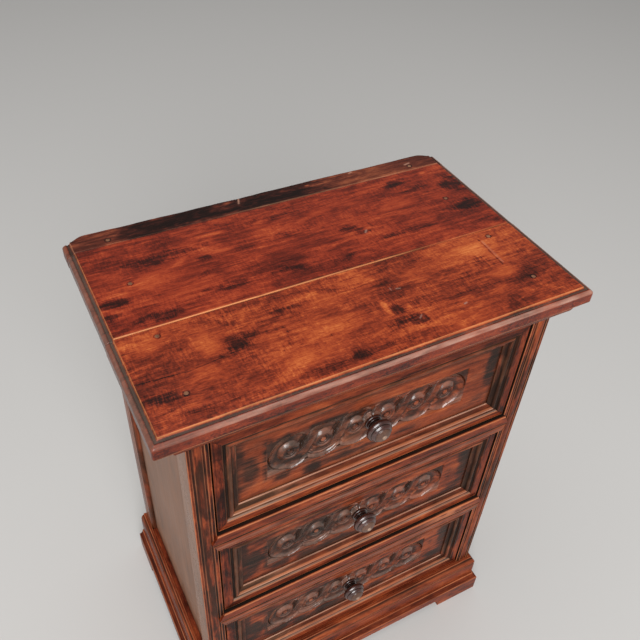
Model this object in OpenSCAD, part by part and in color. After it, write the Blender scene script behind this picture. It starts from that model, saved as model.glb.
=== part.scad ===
// Small joined commode with three drawers. Framed sides, a boarded top with a worked edge,
// mitred frames planted on carved drawer fronts, and drawer rails whose pointed ends are
// let into the moulded posts. Millimetres, Z up. The origin is on the floor, below the
// middle of the top.

/* [Case] */
// Width over the posts
case_w = 575; // [510:5:700]
// Depth from the face of the posts to the back
case_d = 398; // [340:2:480]
// Width of each post, seen from the front
post_w = 30.5; // [28:0.5:42]
// Depth of the front posts, seen from the side
front_post_d = 46; // [40:1:60]
// Depth of the rear posts, seen from the side
rear_post_d = 45; // [40:1:60]
// Length of the tenons
tenon_l = 20; // [14:1:24]
// Thickness of the tenons
tenon_t = 10; // [6:1:12]
// Room round a tenon in its mortise
joint_gap = 0.1; // [0:0.05:0.3]

/* [Top] */
// Thickness of the top boards
top_t = 25; // [20:1:32]
// How far the top runs past each side of the case
side_overhang = 44.5; // [32:0.5:60]
// How far the top runs past the face of the posts
front_overhang = 24.5; // [24:0.5:40]
// How far the top runs past the back
back_overhang = 3.5; // [0:0.5:12]
// Width of the middle board
middle_board_d = 199; // [150:1:220]
// Width of the strip along the back
back_strip_d = 40; // [34:1:60]
// Open joint between two boards of the top
board_seam = 0.8; // [0:0.1:1.5]
// Width of the moulding worked round the edge
edge_w = 12; // [9:0.5:16]
// Height of the moulding, from the surface down to the lip
edge_h = 8.5; // [6:0.5:12]
// Diameter of the pegs that hold the boards down
peg_d = 7; // [5:0.5:9]
// Length of the pegs
peg_l = 44; // [36:1:60]
// Distance of the pegs from the outer face of the case
peg_inset = 20; // [14:1:24]

/* [Bed moulding] */
// Height of the moulding below the top
bed_h = 24; // [18:1:34]
// How far it stands out from the case
bed_proj = 18.5; // [12:0.5:22]

/* [Front rails] */
// Height of the rail below the top
top_rail_h = 35; // [28:1:50]
// Height of the rails between the drawers
rail_h = 36; // [28:1:44]
// Depth of all front rails behind the face of the posts
rail_d = 33; // [26:1:40]
// How far the drawer rails stand out from the posts
rail_proud = 5; // [3:0.5:7]
// Reach of a rail's pointed end across the post
point_l = 9; // [6:0.5:10]
// Depth of the notch that holds the pointed end
point_sink = 3; // [2:0.5:5]
// Height of the bottom rail's strip that shows above the base
sill_h = 4; // [2:1:10]

/* [Side frames] */
// Height of the top rails at the sides and the back
side_top_rail_h = 55; // [45:1:80]
// Height of the bottom rails at the sides and the back
side_bottom_rail_h = 62; // [45:1:70]
// Thickness of the side panels
panel_t = 12; // [8:1:14]
// Depth of the side panels behind the face of the frame
panel_set = 9; // [6:0.5:12]
// Depth of the grooves that hold the side panels
groove_l = 8; // [5:0.5:12]
// Width of the bead worked along the inner edge of the rear posts
bead_w = 17; // [12:1:22]
// Thickness of the rear rails
rear_rail_t = 22; // [16:1:28]
// Thickness of the back boards
back_board_t = 12; // [8:1:16]
// Open joint between two back boards
back_seam = 0.8; // [0.2:0.1:2]

/* [Base] */
// Height of the plinth
plinth_h = 56; // [46:1:80]
// How far the plinth stands out from the case
plinth_proj = 23.5; // [16:0.5:24]
// Height of the cut between the bracket feet
foot_cut_h = 24; // [16:1:30]
// Width of each bracket foot
foot_w = 96; // [80:2:130]
// Height of the base moulding above the plinth
base_h = 58; // [50:1:76]
// How far the base moulding stands out from the case
base_proj = 13; // [9:0.5:15]

/* [Drawer fronts] */
// Height of the front of the top drawer
top_drawer_h = 204; // [170:1:240]
// Height of the front of the middle drawer
middle_drawer_h = 194; // [170:1:240]
// Height of the front of the bottom drawer
bottom_drawer_h = 197; // [170:1:240]
// Gap at each end of a drawer front
end_gap = 3; // [2:0.5:6]
// Gap above a drawer front
head_gap = 2.5; // [1.5:0.5:4]
// Gap below a drawer front
foot_gap = 2.5; // [1.5:0.5:4]
// Depth of the drawer fronts behind the face of the posts
front_set = 2; // [1:0.5:4]
// Thickness of the carved front boards
front_t = 18; // [16:1:24]
// Thickness of the frame planted on a front board
frame_t = 10; // [6:0.5:12]
// Width of the flat outer part of the frame on the top drawer
top_frame_flat = 15; // [9:1:18]
// Width of the flat outer part of the frame on the two lower drawers
lower_frame_flat = 16; // [9:1:18]
// Width of the moulded inner part of the frame
frame_mould = 21; // [14:1:24]
// Open joint at the mitres of the frame
mitre_gap = 0.3; // [0.2:0.1:0.6]

/* [Carving] */
// Number of eyes in the guilloche, an even number
eyes = 6; // [4:2:6]
// Distance from one eye to the next
eye_pitch = 52.5; // [46:0.5:54]
// Height of the carved field
field_h = 76; // [70:1:84]
// Depth of the carved ground
ground_sink = 6.5; // [3:0.5:8]
// Depth of the carved work below the face of the board
relief_sink = 0.5; // [0.3:0.1:1]
// Width of the two bands that cross between the eyes
band_w = 13; // [9:0.5:15]
// Diameter of the ring of each eye
ring_d = 30; // [24:1:32]
// Distance of the carving to the left of the drawer's middle
carving_shift = 5.5; // [0:0.5:10]
// Distance of the carving above the middle of the sunk panel
carving_rise = 2; // [0:0.5:6]

/* [Knobs] */
// Diameter of the bulb
knob_d = 42; // [30:1:44]
// Thickness of the bulb
knob_t = 22; // [16:1:24]
// Length of the neck between the bulb and the collar
neck_l = 7.5; // [3:0.5:10]
// Diameter of the neck
neck_d = 19; // [16:1:22]
// Diameter of the collar on the board
collar_d = 28; // [24:1:30]
// Thickness of the collar
collar_t = 4; // [3:0.5:6]
// Diameter of the spigot in the board
spigot_d = 11; // [8:0.5:13]
// How far the end of the spigot shows at the front of the bulb
tip_l = 1.5; // [0.5:0.5:3]
// Distance of the knob to the left of the drawer's middle
knob_shift = 4; // [0:1:8]

/* [Drawer boxes] */
// Thickness of the drawer sides
side_t = 12; // [9:1:14]
// Thickness of the drawer backs
back_t = 11; // [8:1:14]
// Thickness of the drawer bottoms
bottom_t = 7; // [6:1:10]
// Height of a drawer bottom above the lower edge of its sides
bottom_lift = 6; // [4:1:10]
// Depth of the grooves that hold the drawer bottoms
bottom_groove = 5; // [3:0.5:7]
// Height of a drawer front above the top edge of its sides
side_drop = 26; // [12:1:40]
// Height of a drawer's sides above the top edge of its back
back_drop = 8; // [0:1:20]
// Length of the dovetails that lap into the front
lap_l = 12; // [9:1:13]
// Width of a runner
runner_w = 24; // [18:1:30]
// Thickness of a runner
runner_t = 18; // [14:1:22]
// Room between a drawer and its runners
run_gap = 0.3; // [0.2:0.05:0.5]
// Room between the back of a drawer and the rear rails
rear_gap = 6; // [3:1:15]

/* [Hidden] */

TOP = 0;
MIDDLE = 1;
BOTTOM = 2;
LEFT = -1;
RIGHT = 1;

// Plan of the case and the top
side_x = case_w / 2;
inner_x = side_x - post_w;
top_w = case_w + 2 * side_overhang;
top_d = front_overhang + case_d + back_overhang;
lip_y = -top_d / 2;
rear_y = top_d / 2;
face_y = lip_y + front_overhang;
back_y = face_y + case_d;
back_seam_y = rear_y - back_strip_d;
front_seam_y = back_seam_y - middle_board_d;
side_rail_y0 = face_y + front_post_d;
side_rail_y1 = back_y - rear_post_d;
rebate_y = back_y - back_board_t;
rebate_w = 12;

// Heights, summed up from the floor
front_heights = [top_drawer_h, middle_drawer_h, bottom_drawer_h];
base_top = plinth_h + base_h;
sill_z = base_top + sill_h;
bottom_open_z = sill_z + foot_gap;
lower_rail_z = bottom_open_z + bottom_drawer_h + head_gap;
middle_open_z = lower_rail_z + rail_h + foot_gap;
upper_rail_z = middle_open_z + middle_drawer_h + head_gap;
top_open_z = upper_rail_z + rail_h + foot_gap;
top_rail_z = top_open_z + top_drawer_h + head_gap;
case_top = top_rail_z + top_rail_h;
total_h = case_top + top_t;
front_z = [top_open_z, middle_open_z, bottom_open_z];

// Side frames and back
panel_cover = 2;
side_bottom_z1 = base_top - panel_cover;
side_bottom_z0 = side_bottom_z1 - side_bottom_rail_h;
side_top_z0 = case_top - side_top_rail_h;
back_board_h = (case_top - side_bottom_z0 - 2 * back_seam) / 3;

// Small details of the profiles
quirk_d = 3;
outer_fillet = 5;
inner_fillet = 6;
band_rise = 1;
rail_quirk_z = 15;
arris_r = 1.5;
tenon_set = 12;
tenon_shoulder = 5;
side_tenon_set = 12;
side_shoulder = groove_l + 3;
side_tenon_l = rear_post_d - back_board_t - (rear_rail_t + tenon_t) / 2 - 2;
peg_clear = 0.05;
peg_to_rail = 9;
peg_to_seam = 17;
peg_to_strip = 12;
peg_ys = [
  side_rail_y0 - peg_to_rail,
  front_seam_y - peg_to_seam,
  back_seam_y - middle_board_d / 2,
  back_seam_y + peg_to_strip
];
arc_steps = 8;

// Drawer plan
drawer_w = case_w - 2 * (post_w + end_gap);
drawer_x = drawer_w / 2;
frame_y = face_y + front_set;
board_y = frame_y + frame_t;
box_y = board_y + front_t;
drawer_rear_y = rebate_y - rear_rail_t - rear_gap;
tails = 3;
tail_share = 0.56;
tail_flare = 4;
bottom_clear = 0.1;

// Carving
band_amp = (field_h - band_w) / 2 - 2.5;
end_margin = 3;
half_run = (eyes - 1) / 2 * eye_pitch;
end_run = eye_pitch / 2 + 1;
field_w = 2 * (half_run + end_run + band_w / 2 + end_margin);
ring_hole_d = 0.6 * ring_d;
button_d = 0.3 * ring_d;
boss_d = collar_d + 3;
spigot_clear = 0.05;

// A box between two corners
module block(x, y, z) {
  translate([x[0], y[0], z[0]]) cube([x[1] - x[0], y[1] - y[0], z[1] - z[0]]);
}

// An outline in Y and Z, carried along X
module along_x(x0, x1) {
  translate([x0, 0, 0]) rotate([90, 0, 90]) linear_extrude(x1 - x0) children();
}

// An outline in X and Z, carried along Y
module along_y(y0, y1) {
  translate([0, y1, 0]) rotate([90, 0, 0]) linear_extrude(y1 - y0) children();
}

// A piece on the left, or its mirror image on the right
module at_side(side) {
  if (side == LEFT) mirror([1, 0, 0]) children();
  else children();
}

// Points on an arc of an ellipse about [cx, cy]
function arc(cx, cy, rx, ry, a0, a1) = [
  for (i = [0:arc_steps]) let (a = a0 + (a1 - a0) * i / arc_steps) [cx + rx * cos(a), cy + ry * sin(a)]
];

// The worked edge of the top, as outset from the case side of the moulding and height
// above the underside: a cavetto, a quirk, an ovolo and an upright lip
function top_edge_points() =
  let (cove = 0.3 * edge_w, land = 0.42 * edge_w, quirk_drop = 0.8)
  concat(
    arc(cove, top_t, cove, cove, 180, 270),
    [[cove, top_t - cove - quirk_drop], [land, top_t - cove - quirk_drop]],
    arc(land, top_t - edge_h, edge_w - land, edge_h - 0.8 * cove, 90, 0),
    [[edge_w, 1], [edge_w - 1, 0]]
  );

// The whole top before it is cut into boards
module moulded_top() {
  edge = top_edge_points();
  front = [for (p = edge) [lip_y + edge_w - p[0], p[1]]];
  right = [for (p = edge) [top_w / 2 - edge_w + p[0], p[1]]];
  left = [for (i = [len(right) - 1:-1:0]) [-right[i][0], right[i][1]]];
  translate([0, 0, case_top]) intersection() {
    along_x(-top_w / 2, top_w / 2) polygon(concat(front, [[rear_y, 0], [rear_y, top_t]]));
    along_y(lip_y, rear_y) polygon(concat(right, left));
  }
}

module peg_bores() {
  for (x = [-side_x + peg_inset, side_x - peg_inset], y = peg_ys)
    translate([x, y, total_h - peg_l - 1]) cylinder(d = peg_d + 2 * peg_clear, h = peg_l + 2);
}

module top_board(y0, y1) {
  difference() {
    intersection() {
      moulded_top();
      block([-top_w, top_w], [y0, y1], [case_top, total_h]);
    }
    peg_bores();
  }
}

module top_front_board() {
  color("#7a2f14") top_board(lip_y, front_seam_y - board_seam / 2);
}

module top_middle_board() {
  color("#6b2410") top_board(front_seam_y + board_seam / 2, back_seam_y - board_seam / 2);
}

module top_back_strip() {
  color("#4a1a0d") top_board(back_seam_y + board_seam / 2, rear_y);
}

module top_pegs() {
  color("#3a1a0c")
    for (x = [-side_x + peg_inset, side_x - peg_inset], y = peg_ys)
      translate([x, y, total_h - peg_l]) cylinder(d = peg_d, h = peg_l);
}

// A moulding that runs round the front and the sides, cut at 45 degrees in the corners.
// The outline gives the outset from the case and the height.
module front_run(proj, z0, points) {
  flipped = [for (p = points) [face_y - p[0], z0 + p[1]]];
  intersection() {
    along_x(-side_x - proj, side_x + proj) polygon(flipped);
    linear_extrude(total_h)
      polygon([
        [-side_x, face_y], [-side_x - proj, face_y - proj],
        [side_x + proj, face_y - proj], [side_x, face_y]
      ]);
  }
}

module side_run(proj, z0, points) {
  placed = [for (p = points) [side_x + p[0], z0 + p[1]]];
  intersection() {
    along_y(face_y - proj, back_y) polygon(placed);
    linear_extrude(total_h)
      polygon([
        [side_x, face_y], [side_x + proj, face_y - proj],
        [side_x + proj, back_y], [side_x, back_y]
      ]);
  }
}

// Bed moulding: a fillet under the top, an ovolo that turns in below it, a small foot
function bed_points() =
  let (fillet = 5, foot = 3)
  concat(
    [[0, 0], [foot, 0], [foot, foot]],
    arc(foot, bed_h - fillet, bed_proj - foot, bed_h - fillet - foot, -90, 0),
    [[bed_proj, bed_h], [0, bed_h]]
  );

module front_bed_moulding() {
  color("#54200f") front_run(bed_proj, case_top - bed_h, bed_points());
}

module left_bed_moulding() {
  color("#54200f") at_side(LEFT) side_run(bed_proj, case_top - bed_h, bed_points());
}

module right_bed_moulding() {
  color("#54200f") at_side(RIGHT) side_run(bed_proj, case_top - bed_h, bed_points());
}

// Plan outline of a front post on the right, with two quirks in its face
module front_post_plan() {
  quirk_out = side_x - outer_fillet - quirk_d / 2;
  quirk_in = inner_x + inner_fillet + quirk_d / 2;
  difference() {
    translate([inner_x, face_y]) square([post_w, front_post_d]);
    for (x = [quirk_out, quirk_in]) translate([x, face_y]) circle(d = quirk_d, $fn = 24);
  }
}

// Plan outline of the low band between the two quirks
module post_band_plan() {
  band_x0 = inner_x + inner_fillet + quirk_d;
  band_x1 = side_x - outer_fillet - quirk_d;
  band = band_x1 - band_x0;
  band_r = (band * band / 4 + band_rise * band_rise) / (2 * band_rise);
  intersection() {
    translate([(band_x0 + band_x1) / 2, face_y - band_rise + band_r]) circle(r = band_r, $fn = 96);
    translate([band_x0, face_y - band_rise]) square([band, band_rise + 1]);
  }
}

// Front outline of a drawer rail: the ends run out in points across the posts
module rail_outline(z, reach) {
  polygon([
    [-inner_x, z], [inner_x, z], [inner_x + reach, z + rail_h / 2], [inner_x, z + rail_h],
    [-inner_x, z + rail_h], [-inner_x - reach, z + rail_h / 2]
  ]);
}

// A pair of tenons on the ends of a piece that spans between two posts
module front_tenons(z0, z1, room) {
  block(
    [-inner_x - tenon_l - room, inner_x + tenon_l + room],
    [face_y + tenon_set - room, face_y + tenon_set + tenon_t + room],
    [z0 + tenon_shoulder - room, z1 - tenon_shoulder + room]
  );
}

// Tenons of a side rail, which run front to back
module side_tenons(z0, z1, room) {
  block(
    [side_x - side_tenon_set - tenon_t - room, side_x - side_tenon_set + room],
    [side_rail_y0 - side_tenon_l - room, side_rail_y1 + side_tenon_l + room],
    [z0 + side_shoulder - room, z1 - side_shoulder + room]
  );
}

// Tenons of a rear rail
module rear_tenons(z0, z1, room) {
  block(
    [-inner_x - tenon_l - room, inner_x + tenon_l + room],
    [rebate_y - rear_rail_t / 2 - tenon_t / 2 - room, rebate_y - rear_rail_t / 2 + tenon_t / 2 + room],
    [z0 + tenon_shoulder - room, z1 - tenon_shoulder + room]
  );
}

// The side panel, made larger all round by the room it has in its grooves
module panel_body(room) {
  block(
    [side_x - panel_set - panel_t - room, side_x - panel_set + room],
    [side_rail_y0 - groove_l - room, side_rail_y1 + groove_l + room],
    [side_bottom_z1 - groove_l - room, side_top_z0 + groove_l + room]
  );
}

// What is cut out of the posts and rails of a side frame
module side_joints() {
  panel_body(joint_gap);
  side_tenons(side_top_z0, case_top, joint_gap);
  side_tenons(side_bottom_z0, side_bottom_z1, joint_gap);
}

module front_post() {
  difference() {
    union() {
      linear_extrude(case_top) front_post_plan();
      translate([0, 0, base_top]) linear_extrude(case_top - bed_h - base_top) post_band_plan();
    }
    for (z = [upper_rail_z, lower_rail_z]) {
      along_y(face_y - 2 * band_rise, face_y + point_sink) rail_outline(z, point_l);
      front_tenons(z, z + rail_h, joint_gap);
    }
    front_tenons(top_rail_z, case_top, joint_gap);
    front_tenons(side_bottom_z0, sill_z, joint_gap);
    side_joints();
    peg_bores();
  }
}

module front_left_post() {
  color("#6a2c17") at_side(LEFT) front_post();
}

module front_right_post() {
  color("#6a2c17") at_side(RIGHT) front_post();
}

// Plan outline of a rear post on the right: a rebate for the back boards and, on the
// outside, a quirk with a bead that rolls in to the panel
module rear_post_plan() {
  bead_r = min(bead_w / 2, panel_set);
  quirk_y = side_rail_y1 + bead_w;
  difference() {
    translate([inner_x, side_rail_y1]) square([post_w, rear_post_d]);
    translate([inner_x, rebate_y]) square([rebate_w, back_board_t]);
    translate([side_x, quirk_y + quirk_d / 2]) circle(d = quirk_d, $fn = 24);
    difference() {
      translate([side_x - bead_r, side_rail_y1]) square([bead_r, bead_r]);
      translate([side_x - bead_r, side_rail_y1 + bead_r]) circle(r = bead_r, $fn = 48);
    }
  }
}

module rear_post() {
  difference() {
    linear_extrude(case_top) rear_post_plan();
    side_joints();
    rear_tenons(side_top_z0, case_top, joint_gap);
    rear_tenons(side_bottom_z0, side_bottom_z1, joint_gap);
    peg_bores();
  }
}

module rear_left_post() {
  color("#5c2713") at_side(LEFT) rear_post();
}

module rear_right_post() {
  color("#5c2713") at_side(RIGHT) rear_post();
}

// A plain front rail, flush with the posts
module plain_rail(z0, z1) {
  block([-inner_x, inner_x], [face_y, face_y + rail_d], [z0, z1]);
  front_tenons(z0, z1, 0);
}

module front_top_rail() {
  color("#5a2410") plain_rail(top_rail_z, case_top);
}

module front_bottom_rail() {
  color("#5a2410") plain_rail(side_bottom_z0, sill_z);
}

// Cross-section of a drawer rail: rounded at both arrises, with a quirk below the middle
module drawer_rail_section(z) {
  nose_y = face_y - rail_proud;
  difference() {
    union() {
      translate([nose_y + arris_r, z]) square([rail_proud + rail_d - arris_r, rail_h]);
      translate([nose_y, z + arris_r]) square([2 * arris_r, rail_h - 2 * arris_r]);
      for (h = [arris_r, rail_h - arris_r])
        translate([nose_y + arris_r, z + h]) circle(r = arris_r, $fn = 24);
    }
    translate([nose_y, z + rail_quirk_z]) circle(d = quirk_d, $fn = 24);
  }
}

module drawer_rail(z) {
  intersection() {
    along_x(-side_x, side_x) drawer_rail_section(z);
    union() {
      along_y(face_y - rail_proud, face_y + point_sink) rail_outline(z, point_l);
      block([-inner_x, inner_x], [face_y, face_y + rail_d], [z, z + rail_h]);
    }
  }
  front_tenons(z, z + rail_h, 0);
}

module upper_drawer_rail() {
  color("#8a3d1c") drawer_rail(upper_rail_z);
}

module lower_drawer_rail() {
  color("#8a3d1c") drawer_rail(lower_rail_z);
}

module side_rail(z0, z1) {
  difference() {
    union() {
      block([inner_x, side_x], [side_rail_y0, side_rail_y1], [z0, z1]);
      side_tenons(z0, z1, 0);
    }
    panel_body(joint_gap);
    peg_bores();
  }
}

module left_top_rail() {
  color("#5c2713") at_side(LEFT) side_rail(side_top_z0, case_top);
}

module right_top_rail() {
  color("#5c2713") at_side(RIGHT) side_rail(side_top_z0, case_top);
}

module left_bottom_rail() {
  color("#5c2713") at_side(LEFT) side_rail(side_bottom_z0, side_bottom_z1);
}

module right_bottom_rail() {
  color("#5c2713") at_side(RIGHT) side_rail(side_bottom_z0, side_bottom_z1);
}

module left_side_panel() {
  color("#6e4a3a") at_side(LEFT) panel_body(0);
}

module right_side_panel() {
  color("#6e4a3a") at_side(RIGHT) panel_body(0);
}

module rear_rail(z0, z1) {
  difference() {
    union() {
      block([-inner_x, inner_x], [rebate_y - rear_rail_t, rebate_y], [z0, z1]);
      rear_tenons(z0, z1, 0);
    }
    peg_bores();
  }
}

module rear_top_rail() {
  color("#6b4a33") rear_rail(side_top_z0, case_top);
}

module rear_bottom_rail() {
  color("#6b4a33") rear_rail(side_bottom_z0, side_bottom_z1);
}

// Back boards lie across the back in the rebates of the rear posts, counted from below
module back_board(row) {
  z0 = side_bottom_z0 + row * (back_board_h + back_seam);
  reach = inner_x + rebate_w - joint_gap;
  block([-reach, reach], [rebate_y, back_y], [z0, z0 + back_board_h]);
}

module lower_back_board() {
  color("#7d6048") back_board(0);
}

module middle_back_board() {
  color("#7d6048") back_board(1);
}

module upper_back_board() {
  color("#7d6048") back_board(2);
}

// Base moulding: an upright face, a quirk and an ovolo that turns in to a fillet
function base_points() =
  let (fillet = 4, fillet_proj = 0.5 * base_proj, ovolo_h = 14, quirk = 2)
  concat(
    [[0, 0], [base_proj, 0], [base_proj, base_h - fillet - ovolo_h - quirk]],
    [[base_proj - quirk, base_h - fillet - ovolo_h - quirk]],
    [[base_proj - quirk, base_h - fillet - ovolo_h]],
    arc(fillet_proj, base_h - fillet - ovolo_h, base_proj - fillet_proj, ovolo_h, 0, 90),
    [[fillet_proj, base_h], [0, base_h]]
  );

module front_base_moulding() {
  color("#54200f") front_run(base_proj, plinth_h, base_points());
}

module left_base_moulding() {
  color("#54200f") at_side(LEFT) side_run(base_proj, plinth_h, base_points());
}

module right_base_moulding() {
  color("#54200f") at_side(RIGHT) side_run(base_proj, plinth_h, base_points());
}

// Plinth: an upright face with a cavetto that turns in under the base moulding
function plinth_points() =
  let (fillet = 3, cove_proj = plinth_proj - base_proj - 3, cove_h = 8)
  concat(
    [[0, 0], [plinth_proj, 0], [plinth_proj, plinth_h - fillet - cove_h]],
    arc(plinth_proj, plinth_h - fillet, cove_proj, cove_h, 270, 180),
    [[plinth_proj - cove_proj, plinth_h], [0, plinth_h]]
  );

// The cut between two bracket feet: each end rises in a quarter round and a short step
module foot_cut(a, b) {
  step = 0.35 * foot_cut_h;
  round_r = foot_cut_h - step;
  polygon(concat(
    [[a, -1], [a, step]],
    arc(a + round_r, step, round_r, round_r, 180, 90),
    arc(b - round_r, step, round_r, round_r, 90, 0),
    [[b, step], [b, -1]]
  ));
}

module front_plinth() {
  color("#4d1d0e") difference() {
    front_run(plinth_proj, 0, plinth_points());
    along_y(face_y - 2 * plinth_proj, face_y + plinth_proj)
      foot_cut(-side_x - plinth_proj + foot_w, side_x + plinth_proj - foot_w);
  }
}

module side_plinth() {
  difference() {
    side_run(plinth_proj, 0, plinth_points());
    along_x(inner_x, side_x + 2 * plinth_proj)
      foot_cut(face_y - plinth_proj + foot_w, back_y - foot_w + plinth_proj);
  }
}

module left_plinth() {
  color("#4d1d0e") at_side(LEFT) side_plinth();
}

module right_plinth() {
  color("#4d1d0e") at_side(RIGHT) side_plinth();
}

// A runner lies against the posts, from the front rail to the plane of the rear rails,
// just under a drawer side
module runner(row) {
  z1 = front_z[row] - run_gap;
  block([inner_x - runner_w, inner_x], [face_y + rail_d, rebate_y - rear_rail_t], [z1 - runner_t, z1]);
}

module top_left_runner() {
  color("#7d6048") at_side(LEFT) runner(TOP);
}

module top_right_runner() {
  color("#7d6048") at_side(RIGHT) runner(TOP);
}

module middle_left_runner() {
  color("#7d6048") at_side(LEFT) runner(MIDDLE);
}

module middle_right_runner() {
  color("#7d6048") at_side(RIGHT) runner(MIDDLE);
}

module bottom_left_runner() {
  color("#7d6048") at_side(LEFT) runner(BOTTOM);
}

module bottom_right_runner() {
  color("#7d6048") at_side(RIGHT) runner(BOTTOM);
}

// Frame width and the middle of the sunk panel on each drawer
function frame_flat(row) = row == TOP ? top_frame_flat : lower_frame_flat;
function side_board_h(row) = front_heights[row] - side_drop;
function panel_mid_z(row) = front_z[row] + front_heights[row] / 2;
function carving_z(row) = panel_mid_z(row) + carving_rise;

// Height of a band of the guilloche above its middle line at x, and the slope there.
// It is a sine between the outermost eyes and closes round them in a half ellipse.
function band_z(x) =
  abs(x) <= half_run
    ? band_amp * sin(180 * x / eye_pitch)
    : sin(180 * half_run / eye_pitch) * sign(x) * band_amp
      * sqrt(max(0, 1 - pow((abs(x) - half_run) / end_run, 2)));

function band_slope(x) = (band_z(x + 0.05) - band_z(x - 0.05)) / 0.1;

// Stations along a band, drawn together where it closes round an outer eye
function band_stations() =
  let (n = 14 * eyes / 2)
  concat(
    [for (i = [0:6]) -half_run - end_run * cos(15 * i)],
    [for (i = [1:n - 1]) -half_run + 2 * half_run * i / n],
    [for (i = [0:6]) half_run + end_run * sin(15 * i)]
  );

// One edge of a band, half its width to the left (1) or right (-1) of its middle line.
// At both tips the middle line stands upright, so the edge lies level with it.
function band_edge(side) = [
  for (x = band_stations())
    let (k = band_slope(x), n = sqrt(1 + k * k), reach = side * band_w / 2)
    abs(x) > half_run + end_run - 0.1
      ? [x + reach * sin(180 * half_run / eye_pitch), 0]
      : [x - reach * k / n, band_z(x) + reach / n]
];

module band() {
  upper = band_edge(1);
  lower = band_edge(-1);
  polygon(concat(upper, [for (i = [len(lower) - 1:-1:0]) lower[i]]));
}

// The carved ground: what is cut away round the guilloche and the boss under the knob
module carved_ground(row) {
  difference() {
    translate([-carving_shift - field_w / 2, carving_z(row) - field_h / 2]) square([field_w, field_h]);
    translate([-carving_shift, carving_z(row)]) guilloche();
    knob_boss(row);
  }
}

// The carved work, which lies a little below the face of the board
module carved_relief(row) {
  difference() {
    translate([-carving_shift, carving_z(row)]) guilloche();
    knob_boss(row);
  }
}

module knob_boss(row) {
  translate([-knob_shift, carving_z(row)]) circle(d = boss_d, $fn = 48);
}

module guilloche() {
  band();
  mirror([0, 1]) band();
  for (i = [0:eyes - 1])
    translate([-half_run + i * eye_pitch, 0]) {
      difference() {
        circle(d = ring_d, $fn = 48);
        circle(d = ring_hole_d, $fn = 32);
      }
      circle(d = button_d, $fn = 24);
    }
}

// Dovetails at the front end of a drawer side, seen from the side
module tail_outline(row) {
  pitch = side_board_h(row) / tails;
  for (i = [0:tails - 1]) {
    z = front_z[row] + (i + 0.5) * pitch;
    half = tail_share * pitch / 2;
    polygon([
      [box_y + 1, z - half], [box_y, z - half], [box_y - lap_l, z - half - tail_flare],
      [box_y - lap_l, z + half + tail_flare], [box_y, z + half], [box_y + 1, z + half]
    ]);
  }
}

// The bottom board of a drawer, made larger by its room in the grooves
module bottom_body(row, room) {
  z0 = front_z[row] + bottom_lift;
  x = drawer_x - side_t + bottom_groove;
  block(
    [-x - room, x + room], [box_y - bottom_groove - room, drawer_rear_y + room],
    [z0 - room, z0 + bottom_t + room]
  );
}

module drawer_front(row) {
  z0 = front_z[row];
  z1 = z0 + front_heights[row];
  difference() {
    block([-drawer_x, drawer_x], [board_y, box_y], [z0, z1]);
    along_y(board_y - 1, board_y + ground_sink) carved_ground(row);
    along_y(board_y - 1, board_y + relief_sink) carved_relief(row);
    translate([-knob_shift, board_y - 1, carving_z(row)]) rotate([-90, 0, 0])
      cylinder(d = spigot_d + 2 * spigot_clear, h = front_t + 2);
    for (x = [-drawer_x, drawer_x - side_t]) along_x(x, x + side_t) tail_outline(row);
    bottom_body(row, bottom_clear);
  }
}

// Cross-section of the planted frame: a flat, an arris, a bead between two coves and a
// thin fillet against the board. The first value runs in from the outer edge.
function frame_points(row) =
  let (
    a = frame_flat(row), b = a + frame_mould, r = 0.2 * frame_mould,
    low = 0.55 * frame_t, foot = 0.25 * frame_t
  )
  concat(
    [[0, 0], [0, frame_t], [a, frame_t]],
    arc(a + r, frame_t, r, frame_t - low, 180, 270),
    arc(a + 2 * r, low, r, 0.3 * frame_t, 180, 0),
    arc(b - r, low, r, low - foot, 180, 270),
    [[b, foot], [b, 0]]
  );

// One side of a frame, with its outer edge on X, cut at 45 degrees at both ends
module frame_strip(row, length) {
  w = frame_flat(row) + frame_mould;
  gap = mitre_gap / sqrt(2);
  intersection() {
    rotate([90, 0, 90]) linear_extrude(length)
      polygon([for (p = frame_points(row)) [-p[1], p[0]]]);
    rotate([90, 0, 0]) linear_extrude(2 * frame_t)
      polygon([[gap, 0], [length - gap, 0], [length - w - gap, w], [w + gap, w]]);
  }
}

module drawer_frame(row) {
  z0 = front_z[row];
  h = front_heights[row];
  translate([-drawer_x, board_y, z0]) {
    frame_strip(row, drawer_w);
    translate([drawer_w, 0, h]) rotate([0, 180, 0]) frame_strip(row, drawer_w);
    translate([drawer_w, 0, 0]) rotate([0, -90, 0]) frame_strip(row, h);
    translate([0, 0, h]) rotate([0, 90, 0]) frame_strip(row, h);
  }
}

// Turned knob on an upright axis: spigot, collar, neck, flattened bulb with a ring line
// round its back, and the end of the spigot showing at the front
module knob_profile() {
  bulb_z = collar_t + neck_l + knob_t / 2;
  tip_r = spigot_d * 0.32;
  ring_cut = 1;
  difference() {
    polygon(concat(
      [[0, -front_t], [spigot_d / 2, -front_t], [spigot_d / 2, 0], [collar_d / 2 - 1, 0]],
      arc(collar_d / 2 - collar_t / 2, collar_t / 2, collar_t / 2, collar_t / 2, -60, 90),
      arc(neck_d / 2 + 1.5, collar_t + neck_l / 2, 1.5, neck_l / 2, 270, 90),
      arc(0, bulb_z, knob_d / 2, knob_t / 2, -54, acos(tip_r / (knob_d / 2))),
      [[tip_r, bulb_z + knob_t / 2 + tip_l], [0, bulb_z + knob_t / 2 + tip_l]]
    ));
    translate([knob_d / 2 * cos(28), bulb_z - knob_t / 2 * sin(28)]) circle(r = ring_cut, $fn = 16);
  }
}

module drawer_knob(row) {
  translate([-knob_shift, board_y, carving_z(row)]) rotate([90, 0, 0])
    rotate_extrude($fn = 96) knob_profile();
}

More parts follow.
